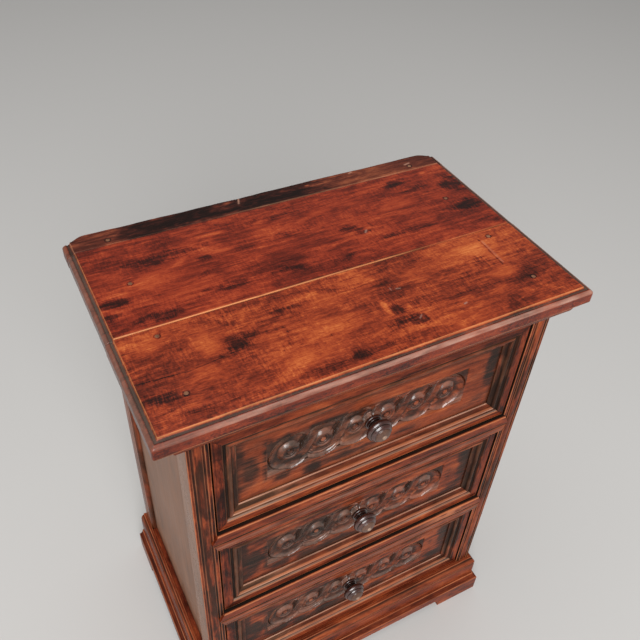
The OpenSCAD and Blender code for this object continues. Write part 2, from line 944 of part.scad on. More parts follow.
module drawer_side(row) {
  z0 = front_z[row];
  difference() {
    union() {
      block([drawer_x - side_t, drawer_x], [box_y, drawer_rear_y], [z0, z0 + side_board_h(row)]);
      along_x(drawer_x - side_t, drawer_x) tail_outline(row);
    }
    bottom_body(row, bottom_clear);
  }
}

module drawer_back(row) {
  z0 = front_z[row] + bottom_lift + bottom_t + bottom_clear;
  x = drawer_x - side_t;
  block([-x, x], [drawer_rear_y - back_t, drawer_rear_y], [z0, front_z[row] + side_board_h(row) - back_drop]);
}

module drawer_bottom(row) {
  bottom_body(row, 0);
}

module top_drawer_front() {
  color("#7c3a20") drawer_front(TOP);
}

module top_drawer_frame() {
  color("#6a2c17") drawer_frame(TOP);
}

module top_drawer_knob() {
  color("#3e2018") drawer_knob(TOP);
}

module top_drawer_left_side() {
  color("#8b6a4d") at_side(LEFT) drawer_side(TOP);
}

module top_drawer_right_side() {
  color("#8b6a4d") at_side(RIGHT) drawer_side(TOP);
}

module top_drawer_back() {
  color("#8b6a4d") drawer_back(TOP);
}

module top_drawer_bottom() {
  color("#93755a") drawer_bottom(TOP);
}

module middle_drawer_front() {
  color("#7c3a20") drawer_front(MIDDLE);
}

module middle_drawer_frame() {
  color("#6a2c17") drawer_frame(MIDDLE);
}

module middle_drawer_knob() {
  color("#3e2018") drawer_knob(MIDDLE);
}

module middle_drawer_left_side() {
  color("#8b6a4d") at_side(LEFT) drawer_side(MIDDLE);
}

module middle_drawer_right_side() {
  color("#8b6a4d") at_side(RIGHT) drawer_side(MIDDLE);
}

module middle_drawer_back() {
  color("#8b6a4d") drawer_back(MIDDLE);
}

module middle_drawer_bottom() {
  color("#93755a") drawer_bottom(MIDDLE);
}

module bottom_drawer_front() {
  color("#7c3a20") drawer_front(BOTTOM);
}

module bottom_drawer_frame() {
  color("#6a2c17") drawer_frame(BOTTOM);
}

module bottom_drawer_knob() {
  color("#3e2018") drawer_knob(BOTTOM);
}

module bottom_drawer_left_side() {
  color("#8b6a4d") at_side(LEFT) drawer_side(BOTTOM);
}

module bottom_drawer_right_side() {
  color("#8b6a4d") at_side(RIGHT) drawer_side(BOTTOM);
}

module bottom_drawer_back() {
  color("#8b6a4d") drawer_back(BOTTOM);
}

module bottom_drawer_bottom() {
  color("#93755a") drawer_bottom(BOTTOM);
}

top_front_board();
top_middle_board();
top_back_strip();
top_pegs();
front_bed_moulding();
left_bed_moulding();
right_bed_moulding();
front_left_post();
front_right_post();
rear_left_post();
rear_right_post();
front_top_rail();
upper_drawer_rail();
lower_drawer_rail();
front_bottom_rail();
left_top_rail();
right_top_rail();
left_bottom_rail();
right_bottom_rail();
left_side_panel();
right_side_panel();
rear_top_rail();
rear_bottom_rail();
upper_back_board();
middle_back_board();
lower_back_board();
front_base_moulding();
left_base_moulding();
right_base_moulding();
front_plinth();
left_plinth();
right_plinth();
top_left_runner();
top_right_runner();
middle_left_runner();
middle_right_runner();
bottom_left_runner();
bottom_right_runner();
top_drawer_front();
top_drawer_frame();
top_drawer_knob();
top_drawer_left_side();
top_drawer_right_side();
top_drawer_back();
top_drawer_bottom();
middle_drawer_front();
middle_drawer_frame();
middle_drawer_knob();
middle_drawer_left_side();
middle_drawer_right_side();
middle_drawer_back();
middle_drawer_bottom();
bottom_drawer_front();
bottom_drawer_frame();
bottom_drawer_knob();
bottom_drawer_left_side();
bottom_drawer_right_side();
bottom_drawer_back();
bottom_drawer_bottom();
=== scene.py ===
# %% [markdown]
# # A small joined commode, dressed
# The CAD model gives every board its place. This script gives each board the form and finish that
# a few centuries of use have left: rounded arrises, carved work, mottled polish and dirt in every
# quirk. All lengths below are in millimetres until a mesh is made, and then in metres.

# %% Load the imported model
import math

import bmesh
import bpy
import numpy as np
from mathutils import Matrix, Vector


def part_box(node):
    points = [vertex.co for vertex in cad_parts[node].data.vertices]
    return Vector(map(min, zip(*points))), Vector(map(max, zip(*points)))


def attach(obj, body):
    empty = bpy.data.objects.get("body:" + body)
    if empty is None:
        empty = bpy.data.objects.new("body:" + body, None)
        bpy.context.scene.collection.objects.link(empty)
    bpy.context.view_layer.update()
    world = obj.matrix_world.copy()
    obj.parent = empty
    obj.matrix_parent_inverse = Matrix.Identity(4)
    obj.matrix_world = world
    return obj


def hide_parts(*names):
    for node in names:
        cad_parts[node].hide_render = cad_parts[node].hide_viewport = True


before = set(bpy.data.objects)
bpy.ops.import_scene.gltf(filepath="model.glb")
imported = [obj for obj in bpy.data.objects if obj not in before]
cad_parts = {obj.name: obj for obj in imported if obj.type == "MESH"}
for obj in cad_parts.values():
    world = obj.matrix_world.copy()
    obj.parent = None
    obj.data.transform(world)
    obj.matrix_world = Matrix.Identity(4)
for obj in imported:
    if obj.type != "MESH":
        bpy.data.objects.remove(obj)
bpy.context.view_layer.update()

# %% [markdown]
# ## The camera
# The photograph was taken from above the front left corner. Its camera was solved from the edges
# of the top and of the drawers, so the render can be laid over the photograph. The camera comes
# first, because every later choice is judged through it.

# %% Place the camera
MM = 0.001
CAMERA_AT = Vector((-426.4, -734.3, 1525.7)) * MM
CAMERA_RIGHT = Vector((0.88480, -0.46369, 0.04598))
CAMERA_UP = Vector((0.28359, 0.61417, 0.73646))
CAMERA_BACK = Vector((-0.36973, -0.63858, 0.67492))
camera_data = bpy.data.cameras.new("camera")
camera_data.lens = 41.35
camera_data.sensor_width = 36.0
camera = bpy.data.objects.new("camera", camera_data)
turn = Matrix((CAMERA_RIGHT, CAMERA_UP, CAMERA_BACK)).transposed()
camera.matrix_world = Matrix.Translation(CAMERA_AT) @ turn.to_4x4()
bpy.context.scene.collection.objects.link(camera)
bpy.context.scene.camera = camera
print("camera", tuple(CAMERA_AT), "lens", camera_data.lens)

# %% [markdown]
# ## Noise that stays the same
# Hand-planed wood is never flat and dirt never lies evenly. Random numbers on a lattice, blended
# smoothly, give both. They come from a seeded generator, so every run makes the same commode.

# %% Value noise, a smooth step and a ridge
def noise(u, v, seed, octaves=3):
    """Random numbers at whole (u, v), blended smoothly in between. Each further octave is twice
    as fine and half as strong. The result lies between about -1 and 1."""
    table = np.random.default_rng(seed).uniform(-1, 1, (256, 256))
    u, v = np.broadcast_arrays(np.asarray(u, float), np.asarray(v, float))
    total, strength, sum_of_strengths = np.zeros(u.shape), 1.0, 0.0
    for octave in range(octaves):
        iu, iv = np.floor(u).astype(int), np.floor(v).astype(int)
        fu, fv = u - iu, v - iv
        fu, fv = fu * fu * (3 - 2 * fu), fv * fv * (3 - 2 * fv)
        corner = [[table[(iu + a) % 256, (iv + b) % 256] for b in (0, 1)] for a in (0, 1)]
        low = corner[0][0] * (1 - fv) + corner[0][1] * fv
        high = corner[1][0] * (1 - fv) + corner[1][1] * fv
        total += strength * (low * (1 - fu) + high * fu)
        sum_of_strengths += strength
        u, v, strength = 2 * u + 17.3, 2 * v + 9.1, strength / 2
    return total / sum_of_strengths


def rise(value, low, high):
    """0 below low, 1 above high, and 3t^2 - 2t^3 in between."""
    t = np.clip((value - low) / (high - low), 0, 1)
    return t * t * (3 - 2 * t)


def ridge(value, middle, width):
    """exp(-((value - middle) / width)^2): 1 in the middle and almost 0 two widths away from it."""
    return np.exp(-((value - middle) / width) ** 2)


# %% [markdown]
# ## From points to a piece
# Each piece is worked out as arrays of points. One helper turns them into a mesh, makes the faces
# look outwards, hangs the piece on the empty of the body it rides on, and hides the CAD part that
# it replaces. It also stores marks from 0 to 1 at each point, so that the shader can follow the
# shape:
#
# - worn: polish rubbed through to the wood. The dirt mark: dirt held in a hollow, and painted
#   shade in the gaps round the drawers and on faces that turn away from the light.
# - dark: knots and old stains, and painted shade that differs from one frame length to the next.
#   glow: thin or bleached polish. The pale mark: a painted highlight where an edge or a slope
#       would
#   catch the light, and pale scratches on the top.
# - The second-colour mark: the second colours of a finish, for wood that is greyed or was stained
#   in another way, and a painted grey reflection on the outer side of the posts.
# - gloss: how thick the clear coat is. upright: the grain runs up instead of across.
# - own: one number for each piece, so that no two pieces share their grain.

# %% Make a piece from points and faces
MARKS = ("worn", "grime", "dark", "glow", "pale", "dry", "gloss", "upright")
GRAIN_STEP = 0.37
piece_count = 0


def quads(index):
    """The four corners of each cell in a grid of point numbers."""
    cells = np.stack([index[:-1, :-1], index[:-1, 1:], index[1:, 1:], index[1:, :-1]], axis=-1)
    return cells.reshape(-1, 4).tolist()


def points_of(x, y, z):
    """One row (x, y, z) for each point of three arrays that broadcast to one shape."""
    return np.stack(np.broadcast_arrays(x, y, z), axis=-1).reshape(-1, 3)


def joined(parts):
    """The marks of several parts as one array each, in the order of the parts."""
    return {key: np.concatenate([np.ravel(part[key]) for part in parts]) for key in parts[0]}


def add_mark(mesh, name, values):
    """Stores a number from 0 to 1 at each point. A single value goes to all points."""
    values = np.broadcast_to(np.ravel(np.asarray(values, float)), (len(mesh.vertices),))
    layer = mesh.attributes.new(name, "FLOAT", "POINT")
    layer.data.foreach_set("value", np.ascontiguousarray(np.clip(values, 0, 1), np.float32))


def make_piece(name, points, faces, marks, body, replaced, sharp=38):
    """Points in mm, faces as lists of corner numbers, marks as arrays with one value a point.
    Edges that turn by more than `sharp` degrees stay crisp."""
    global piece_count
    piece_count += 1
    mesh = bpy.data.meshes.new(name)
    mesh.from_pydata((np.asarray(points) * MM).tolist(), [], faces)
    shell = bmesh.new()
    shell.from_mesh(mesh)
    bmesh.ops.recalc_face_normals(shell, faces=shell.faces)
    shell.to_mesh(mesh)
    shell.free()
    for mark in MARKS:
        add_mark(mesh, mark, marks.get(mark, 0.0))
    add_mark(mesh, "own", piece_count * GRAIN_STEP % 1)
    mesh.polygons.foreach_set("use_smooth", np.ones(len(mesh.polygons), bool))
    mesh.set_sharp_from_angle(angle=math.radians(sharp))
    piece = bpy.data.objects.new(name, mesh)
    bpy.context.scene.collection.objects.link(piece)
    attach(piece, body)
    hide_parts(replaced)
    print(f"{name}: {len(points)} points, {len(faces)} faces on {body}")


# %% [markdown]
# ## Outlines that have been handled
# A moulding plane leaves crisp arrises, and hands and dusters round them. An outline is walked at
# even steps and each point moves to the mean of its neighbours. How sharply the line still turns
# says where polish wears through (it turns outwards) and where dirt stays (it turns inwards).

# %% Arcs, worn outlines and their marks
def arc(cx, cy, rx, ry, start, end, steps=8):
    """Points (cx + rx cos a, cy + ry sin a) for angles from start to end, in degrees."""
    a = np.radians(np.linspace(start, end, steps + 1))
    return np.stack([cx + rx * np.cos(a), cy + ry * np.sin(a)], axis=1)


def worn_outline(parts, step=0.7, rounds=2, closed=True):
    """Points every step mm along the outline, moved rounds times to the mean of themselves and
    their neighbours (1:2:1). Returns the points, how worn and how dirty each is."""
    line = np.vstack([np.atleast_2d(part) for part in parts]).astype(float)
    if closed:
        area = np.sum(line[:, 0] * np.roll(line[:, 1], -1) - line[:, 1] * np.roll(line[:, 0], -1))
        line = line if area > 0 else line[::-1]
        line = np.vstack([line, line[:1]])
    walk = np.concatenate([[0], np.cumsum(np.hypot(*np.diff(line, axis=0).T))])
    keep = np.concatenate([[True], np.diff(walk) > 1e-9])
    line, walk = line[keep], walk[keep]
    stations = np.linspace(0, walk[-1], int(math.ceil(walk[-1] / step)) + 1)
    points = np.stack([np.interp(stations, walk, line[:, k]) for k in (0, 1)], axis=1)
    if closed:
        points = points[:-1]
    for _ in range(rounds):
        moved = (np.roll(points, 1, 0) + 2 * points + np.roll(points, -1, 0)) / 4
        if not closed:
            moved[0], moved[-1] = points[0], points[-1]
        points = moved
    before, after = points - np.roll(points, 1, 0), np.roll(points, -1, 0) - points
    turning = np.arctan2(before[:, 0] * after[:, 1] - before[:, 1] * after[:, 0],
                         np.sum(before * after, axis=1))
    if not closed:
        turning[0] = turning[-1] = 0
    worn = np.clip(turning / 0.4, 0, 1)
    grime = np.clip(-turning / 0.35, 0, 1)
    for shift in (1, -1, 2, -2):
        grime = np.maximum(grime, 0.75 * np.roll(grime, shift))
    return points, worn, grime


# %% [markdown]
# ## A moulding that runs along a board
# Bed moulding, base, plinth, posts, rails and drawer frames are all one outline carried along a
# straight line, as a moulding plane makes them. The ends are cut where the joiner cut them, so
# each point of the outline has its own start and end. A little unevenness is taken off the
# surface, never added, so the piece stays within the CAD solid.

# %% Carry an outline along a line
MOULD_RING, POST_RING, FINE_RING = 12, 9, 7  # distance from one ring of points to the next


def run(outline, start, end, spacing, seed, uneven=0.25, stops=()):
    """Ring j holds (along, out, up) for every point of the outline. Ring 0 lies at start and the
    last ring at end, which may differ from point to point; the others lie at even spacing, with
    more at `stops`. Noise along the run takes up to `uneven` mm off the outward reach."""
    start = np.broadcast_to(start, len(outline))
    end = np.broadcast_to(end, len(outline))
    inner = np.linspace(start.max() + 1, end.min() - 1,
                        int((end.min() - start.max()) / spacing) + 2)
    inner = np.sort(np.concatenate([inner, stops]))
    along = np.vstack([start, np.repeat(inner[:, None], len(outline), axis=1), end])
    out = np.broadcast_to(outline[:, 0], along.shape)
    up = np.broadcast_to(outline[:, 1], along.shape)
    height = np.arange(len(outline))[None, :] * 0.05
    off = uneven * (0.5 + 0.5 * noise(along / 35, height, seed)) * rise(out, 0.2, 2.0)
    return np.stack([along, out - off, up], axis=-1)


def tube_faces(rings, around, first=0, caps=None):
    """Quads between neighbouring rings, each closed on itself, and a flat face on each end. Caps
    lists the runs of points that make up an end where that isn't one flat face."""
    index = first + np.arange(rings * around).reshape(rings, around)
    caps = [np.arange(around)] if caps is None else caps
    ends = [index[ring][cap].tolist() for ring in (0, -1) for cap in caps]
    return quads(np.hstack([index, index[:, :1]])) + ends


def along_marks(along, worn, grime, seed, wear=1.0, dirt_and_shade=1.0):
    """The outline's marks, stronger in some places along the run than in others."""
    patch = 0.75 + 0.5 * noise(along / 28, np.arange(along.shape[1])[None, :] * 0.08, seed)
    return {"worn": wear * worn * patch, "grime": dirt_and_shade * grime * (1.6 - patch)}


# %% [markdown]
# ## Where the pieces are
# These are the numbers of the CAD model that the pieces need.

# %% Measure the model
def box_mm(node):
    """Lowest and highest corner of a node of the CAD model, in mm."""
    low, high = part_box(node)
    return np.array(low) / MM, np.array(high) / MM


post_low, post_high = box_mm("front_right_post")
top_high = box_mm("top_front_board")[1]
SIDE_X = post_high[0]
INNER_X = post_low[0]
FACE_Y = box_mm("front_top_rail")[0][1]
BACK_Y = box_mm("rear_right_post")[1][1]
CASE_TOP = post_high[2]
TOTAL_H = top_high[2]
POST_BACK = post_high[1]
BASE_TOP = box_mm("front_base_moulding")[1][2]
print("case", SIDE_X, INNER_X, FACE_Y, BACK_Y, CASE_TOP, TOTAL_H, POST_BACK, BASE_TOP)

# %% [markdown]
# ## Bed moulding, base moulding and plinth
# On the real commode these are lengths of moulding, nailed round the front and the sides and
# mitred in the corners. The front length ends at 45 degrees, so a point that stands out further
# also runs on further.

# %% Outlines of the three mouldings
BED_H, BED_REACH = 24, 18.5
BASE_H, BASE_REACH = 58, 13
PLINTH_H, PLINTH_REACH, PLINTH_COVE = 56, 23.5, 7.5


def bed_outline(height, reach, fillet=5, foot=3):
    """From the case out along the foot, up the ovolo and back along the top."""
    return [(0, 0), (foot, 0), (foot, foot),
            arc(foot, height - fillet, reach - foot, height - fillet - foot, -90, 0, 14),
            (reach, height), (0, height)]


def base_outline(height, reach, fillet=4, ovolo=14, quirk=2):
    """An upright face, a quirk, and an ovolo that turns in to a fillet."""
    shoulder = height - fillet - ovolo
    return [(0, 0), (reach, 0), (reach, shoulder - quirk), (reach - quirk, shoulder - quirk),
            (reach - quirk, shoulder), arc(reach / 2, shoulder, reach / 2, ovolo, 0, 90, 14),
            (reach / 2, height), (0, height)]


def plinth_outline(height, reach, cove, fillet=3, cove_h=8):
    """An upright face with a cavetto that turns in under the base moulding."""
    return [(0, 0), (reach, 0), (reach, height - fillet - cove_h),
            arc(reach, height - fillet, cove, cove_h, 270, 180, 10),
            (reach - cove, height), (0, height)]


# %% Run the mouldings round the case
FOOT_W, FOOT_CUT_H, FOOT_STEP = 96, 24, 0.35


def foot_cut(along, a, b):
    """Height of the cut between two bracket feet, which runs from a to b: a short upright step,
    then a quarter round."""
    step, radius = FOOT_STEP * FOOT_CUT_H, (1 - FOOT_STEP) * FOOT_CUT_H
    inside = np.minimum(along - a, b - along)
    x = np.clip(radius - inside, 0, radius)
    return np.where(inside > 0, step + np.sqrt(np.maximum(radius ** 2 - x ** 2, 0)), 0)


def moulding_set(kind, parts, step, seed, cut=False):
    """Front, left and right length of one moulding. Seen from above, the front length ends at
    x = -+(side + out), and the side lengths run from y = face - out to the back. A cut lifts the
    foot of the outline between the bracket feet and squeezes the face above it."""
    low, high = box_mm("front_" + kind)
    reach = high[0] - SIDE_X
    outline, worn, grime = worn_outline(parts, step)
    out = outline[:, 0]
    spans = {"front": (-SIDE_X, SIDE_X), "left": (FACE_Y, BACK_Y), "right": (FACE_Y, BACK_Y)}
    for side, (near, far) in spans.items():
        a, b = near - reach + FOOT_W, far + reach - FOOT_W
        curve = (1 - FOOT_STEP) * FOOT_CUT_H * (1 - np.cos(np.linspace(0.1, 1.4, 8)))
        stops = np.concatenate([[a - 0.05, a + 0.02, b - 0.02, b + 0.05], a + curve, b - curve])
        laid = run(outline, near - out, far + out * (side == "front"), MOULD_RING,
                   seed + len(side), stops=stops if cut else ())
        along, out_now, up = (laid[..., k] for k in range(3))
        if cut:
            lift, face = foot_cut(along, a, b), 0.8 * (high[2] - low[2])
            up = np.where(up < face, lift + up * (1 - lift / face), up)
        sign = -1 if side == "left" else 1
        x, y = (along, FACE_Y - out_now) if side == "front" else (sign * (SIDE_X + out_now), along)
        make_piece(f"{side}_{kind}_worn", points_of(x, y, low[2] + up), tube_faces(*along.shape),
                   along_marks(along, worn, grime, seed + 7), "case",
                   f"{side}_{kind}")


moulding_set("bed_moulding", bed_outline(BED_H, BED_REACH), 0.7, 11)
moulding_set("base_moulding", base_outline(BASE_H, BASE_REACH), 0.9, 21)
moulding_set("plinth", plinth_outline(PLINTH_H, PLINTH_REACH, PLINTH_COVE), 0.9, 31, cut=True)

# %% [markdown]
# ## Posts
# A post is one length of walnut with quirks scratched down its face and, on the rear ones, a bead
# along the inner edge. Its plan is the outline here, and it is carried upwards. The low band
# between the two quirks of a front post is swept a little proud, as a scratch stock leaves it.

# %% Plans of the posts, measured from the inner face (out) and from the face backwards (up)
QUIRK = 3


def quirk_arc(middle, face, turn_from, turn_to):
    """A half round groove, QUIRK wide, round (middle, face)."""
    return arc(middle, face, QUIRK / 2, QUIRK / 2, turn_from, turn_to, 6)


def front_post_plan(width, depth, inner_fillet=6, outer_fillet=5, rise_mm=1.0):
    """x from the inner face and y from the face of the post, with two quirks and a swept band."""
    a, b = inner_fillet + QUIRK, width - outer_fillet - QUIRK
    x = np.linspace(a, b, 15)
    t = (x - a) / (b - a) * 2 - 1
    band = np.stack([x, -rise_mm * (1 - t * t)], axis=1)
    return [(0, 0), (inner_fillet, 0), quirk_arc(a - QUIRK / 2, 0, 180, 0), band,
            quirk_arc(b + QUIRK / 2, 0, 180, 0), (width, 0), (width, depth), (0, depth)]


def rear_post_plan(width, depth, bead=9, bead_w=17, rebate_w=12, rebate_d=12):
    """x from the inner face and y from the front edge, with a bead, a quirk and a rebate."""
    quirk = bead_w + QUIRK / 2
    return [(0, 0), arc(width - bead, bead, bead, bead, -90, 0, 12), (width, bead_w),
            quirk_arc(width, quirk, 270, 90), (width, bead_w + QUIRK),
            (width, depth), (rebate_w, depth), (rebate_w, depth - rebate_d), (0, depth - rebate_d)]


# %% Raise the posts
post_w = SIDE_X - INNER_X


def post_piece(row, side, parts, y0, seed):
    """The plan in rings, one above the other. What stands proud of the face fades out under the
    mouldings, and up to 0.2 mm is planed off the sides and the face. Dark and orange patches are
    drawn out along the grain. The outer side takes grey colours, a painted reflection of the sky,
    and the inner side, which looks into the drawer opening, is darkened with painted shade."""
    outline, worn, grime = worn_outline(parts, 0.6)
    x, y = outline.T
    z = np.linspace(0, CASE_TOP, int(CASE_TOP / POST_RING))[:, None]
    along = z + 0 * x
    shown = rise(z, BASE_TOP - 10, BASE_TOP) * (1 - rise(z, CASE_TOP - 26, CASE_TOP - 22))
    planed = 0.2 * (0.5 + 0.5 * noise(z / 40, np.arange(len(x)) * 0.03, seed))
    now_x = x - planed * np.clip((x - post_w / 2) / 5, -1, 1)
    now_y = np.where(y < 0, y * shown, y)
    now_y = now_y + planed * (now_y < 5)

    rear = row == "rear"
    # painted shade on the inner face, and a painted grey reflection on the outer side
    painted_gap_shade = (1 - rise(x, 0.3, 1.0)) * rise(y, 0.8, 2.2)
    dry = rise(x, post_w - 0.8, post_w - 0.2) * rise(y, 1.5, 3.5)
    patches = noise(z / 62, x / 9, seed + 5, 4)
    marks = along_marks(along, worn, grime, seed + 3, wear=1.2, dirt_and_shade=0.8)
    marks["grime"] = np.maximum(marks["grime"], painted_gap_shade)
    marks["dry"] = dry * (0.3 if rear else 1.0)
    marks["dark"] = (0.35 + 0.35 * rear + 0.6 * rise(patches, 0.0, 0.4)) * (1 - 0.9 * dry)
    marks["glow"] = (0.5 - 0.4 * rear) * rise(-patches, 0.05, 0.5)
    marks = {key: np.broadcast_to(value, along.shape) for key, value in marks.items()}
    sign, node = (-1 if side == "left" else 1), f"{row}_{side}_post"
    make_piece(node + "_worn", points_of(sign * (INNER_X + now_x), y0 + now_y, z),
               tube_faces(*along.shape), marks, "case", node)


for side, seed in (("left", 41), ("right", 47)):
    post_piece("front", side, front_post_plan(post_w, POST_BACK - FACE_Y), FACE_Y, seed)
    rear_y = box_mm(f"rear_{side}_post")[0][1]
    post_piece("rear", side, rear_post_plan(post_w, BACK_Y - rear_y), rear_y, seed + 2)

# %% [markdown]
# ## Drawer rails with pointed ends
# The rails between the drawers run out in points over the posts, like a bird's beak. The proud
# front of a rail is one outline with a quirk, and its ends reach furthest at half its height. The
# plain rest of the rail is a second closed block behind it, a hair's breadth into the first.

# %% Make the drawer rails
RAIL_H, RAIL_D, RAIL_QUIRK, RAIL_ROUND = 36, 33, 15, 1.2
PROUD, POINT, SINK = 5, 9, 3  # in front of the case, over the posts, and back into the block


def rail_outline(proud):
    """Out along the foot, up the face with its quirk, and back along the top."""
    r = RAIL_ROUND
    return [(0, 0), (proud - r, 0), arc(proud - r, r, r, r, -90, 0, 4),
            quirk_arc(proud, RAIL_QUIRK, 270, 90)[1:-1],
            arc(proud - r, RAIL_H - r, r, r, 0, 90, 4), (0, RAIL_H)]


def rail_block(z0):
    """Corners of the plain block: four at the left end, then four at the right end."""
    end_x, front_y, back_y = INNER_X - 0.05, FACE_Y + SINK - 0.6, FACE_Y + RAIL_D
    foot, head = z0 + 0.3, z0 + RAIL_H - 0.3
    section = ((front_y, foot), (back_y, foot), (back_y, head), (front_y, head))
    return np.array([(x, y, z) for x in (-end_x, end_x) for y, z in section])


def rail_piece(name, seed, wear, streak_x, streak_from):
    """The proud front and the block. An end is two flat faces that meet at half the height. A
    painted highlight lies along the lower part, and a ragged streak near streak_x is worn through
    above the quirk. The top and the foot, which face the drawers, and the block behind are
    darkened with painted shadow, the shadow of the gaps."""
    z0, proud = box_mm(name)[0][2], PROUD + SINK
    outline, worn, grime = worn_outline(rail_outline(proud), 0.6)
    depth, height = outline.T
    reach = INNER_X + POINT * (1 - np.abs(height / (RAIL_H / 2) - 1))
    laid = run(outline, -reach, reach, FINE_RING, seed, uneven=0.5)
    along, out, up = (laid[..., k] for k in range(3))
    up = up + 0.35 * noise(along / 60, 0.0, seed + 1) * np.sin(np.pi * np.clip(up / RAIL_H, 0, 1))
    face, block = points_of(along, FACE_Y + SINK - out, z0 + up), rail_block(z0)
    lower = np.flatnonzero(height <= RAIL_H / 2)
    gap = np.flatnonzero(np.diff(lower) > 1)
    lower = np.roll(lower, -(gap[0] + 1)) if len(gap) else lower
    upper = np.arange(lower[-1], lower[-1] + len(outline) - len(lower) + 2) % len(outline)
    faces = tube_faces(*along.shape, caps=[lower, upper]) + tube_faces(2, 4, first=len(face))

    # a painted highlight on the lower band, and painted shadow on the faces towards the drawer
    # gaps
    band = 0.3 * ridge(height, 7, 4.5) * rise(depth, proud - 1, proud - 0.3)
    painted_gap_shadow = ((np.abs(height - RAIL_H / 2) > RAIL_H / 2 - 0.5)
                 * (1 - rise(depth, proud - 3.6, proud - 2.2)))
    ragged = rise(noise(along / 16, up / 3, seed + 8, 4), streak_from, streak_from + 0.3)
    streak = 0.9 * ragged * ridge(along, streak_x, 42) * (up > RAIL_QUIRK)
    marks = along_marks(along, worn, grime, seed + 5, wear=wear, dirt_and_shade=1.3)
    marks["grime"] = np.maximum(marks["grime"], painted_gap_shadow)
    marks["pale"] = band * (0.7 + 0.6 * noise(along / 30, up / 5, seed + 6))
    marks["worn"] = np.maximum(marks["worn"], streak)
    block_marks = {key: np.full(len(block), float(key == "grime")) for key in marks}
    make_piece(name + "_worn", np.vstack([face, block]), faces, joined([marks, block_marks]),
               "case", name)


rail_piece("upper_drawer_rail", 61, 1.9, -60, 0.0)
rail_piece("lower_drawer_rail", 67, 2.6, 185, -0.35)

# %% [markdown]
# ## The top
# Two wide boards and a narrow strip, with a moulding worked on the ends and the front: a cavetto,
# a fillet and an ovolo over an upright lip. The surface of a board is a grid of heights: a faint
# waviness from hand planing, rolled over at the open joints. The moulding starts at the rim of
# that grid. It is the same outline at every point of the rim, and its corners are mitred.

# %% The worked edge
EDGE_W, EDGE_H, TOP_T = 12, 8.5, TOTAL_H - CASE_TOP
COVE, LAND, STEP = 0.3 * EDGE_W, 0.42 * EDGE_W, 0.8
OVOLO_H = EDGE_H - 0.8 * COVE
edge_line = worn_outline(
    [arc(COVE, TOP_T, COVE, COVE, 180, 270, 10), (COVE, TOP_T - COVE - STEP),
     (LAND, TOP_T - COVE - STEP), arc(LAND, TOP_T - EDGE_H, EDGE_W - LAND, OVOLO_H, 90, 0, 12),
     (EDGE_W, 1), (EDGE_W - 1, 0)], 0.8, 1, closed=False)[0]
edge_out, edge_up = edge_line[:, 0], edge_line[:, 1] - TOP_T
in_cove = (edge_out < LAND + 0.3) & (edge_up > -COVE - 1.4)
# worn: the arris and the foot of the lip. Dirt: the cove. dark: the cove, the line beside the
# ovolo, and the lip, more so towards its foot. Painted highlights: the shoulder of the ovolo and
# the edge of the cove. Second colours: everything below the arris.
edge_marks = {
    "worn": np.maximum(1 - rise(edge_out, 0.2, 1.0), 0.5 * ridge(edge_up, -23.4, 0.8)),
    "grime": 0.4 * in_cove * rise(edge_out, 0.9, 1.8),
    "pale": np.maximum(0.8 * rise(edge_out, LAND + 1.4, LAND + 2.8) * rise(edge_up, -8.4, -7.0),
                       0.55 * ridge(edge_out, COVE + 0.7, 0.6) * (edge_up < -3.2)),
    "dry": rise(edge_out, 0.9, 2.0),
    "dark": np.maximum(1.2 * in_cove * rise(edge_out, 1.2, 2.2)
                       + 1.2 * ridge(edge_out, LAND + 0.5, 0.6),
                       0.3 * rise(-edge_up, 9.0, 11) + 0.5 * rise(-edge_up, 19, 24))}
print("worked edge has", len(edge_line), "points")

# %% [markdown]
# ### Marks on the polish
# The polish is mottled: orange where light has bleached it or where it is thin, nearly black
# round knots and old spills. Each of these marks is an ellipse of given place, size and strength,
# drawn out along the grain, and noise bends its rim so that no two look alike. Year rings close
# round the knots, and scratches are short lines.

# %% Paint the marks of the top
KNOTS = (  # x, y, half length, half width, strength of the dark
    (-177, -101, 13, 8, 1.2), (-168, -92, 26, 16, 0.5), (-172, -62, 20, 24, 0.38),
    (-120, -107, 14, 5, 0.35), (-85, -64, 30, 12, 0.35), (15, -64, 34, 12, 0.35),
    (45, -129, 13, 10, 1.1), (32, -156, 16, 8, 0.45), (62, -159, 12, 9, 1.5),
    (80, -124, 18, 9, 0.55), (140, -159, 8, 5, 0.7), (217, -81, 14, 6, 0.55),
    (-297, -149, 17, 8, 0.55), (-292, -170, 11, 6, 0.5), (-265, -181, 26, 5, 0.45),
    (-200, 112, 56, 12, 1.0), (-150, 88, 14, 7, 0.9), (-300, 40, 24, 14, 0.85),
    (-310, 16, 14, 10, 0.9), (-255, -8, 34, 10, 0.95), (-145, 13, 40, 10, 0.65),
    (-35, 11, 44, 9, 0.45), (35, 6, 40, 9, 0.4), (95, 51, 14, 8, 1.1), (75, 66, 16, 8, 0.9),
    (305, 111, 22, 18, 1.2), (290, 46, 30, 16, 1.0), (210, 146, 24, 10, 0.8),
    (230, 121, 26, 9, 0.5), (150, 20, 50, 10, 0.45), (180, -105, 30, 8, 0.35),
    (-40, -185, 60, 6, 0.5), (300, -20, 30, 12, 0.4), (-60, 140, 60, 8, 0.35),
    (-10, 95, 50, 8, 0.3), (262, -60, 16, 6, 0.45))
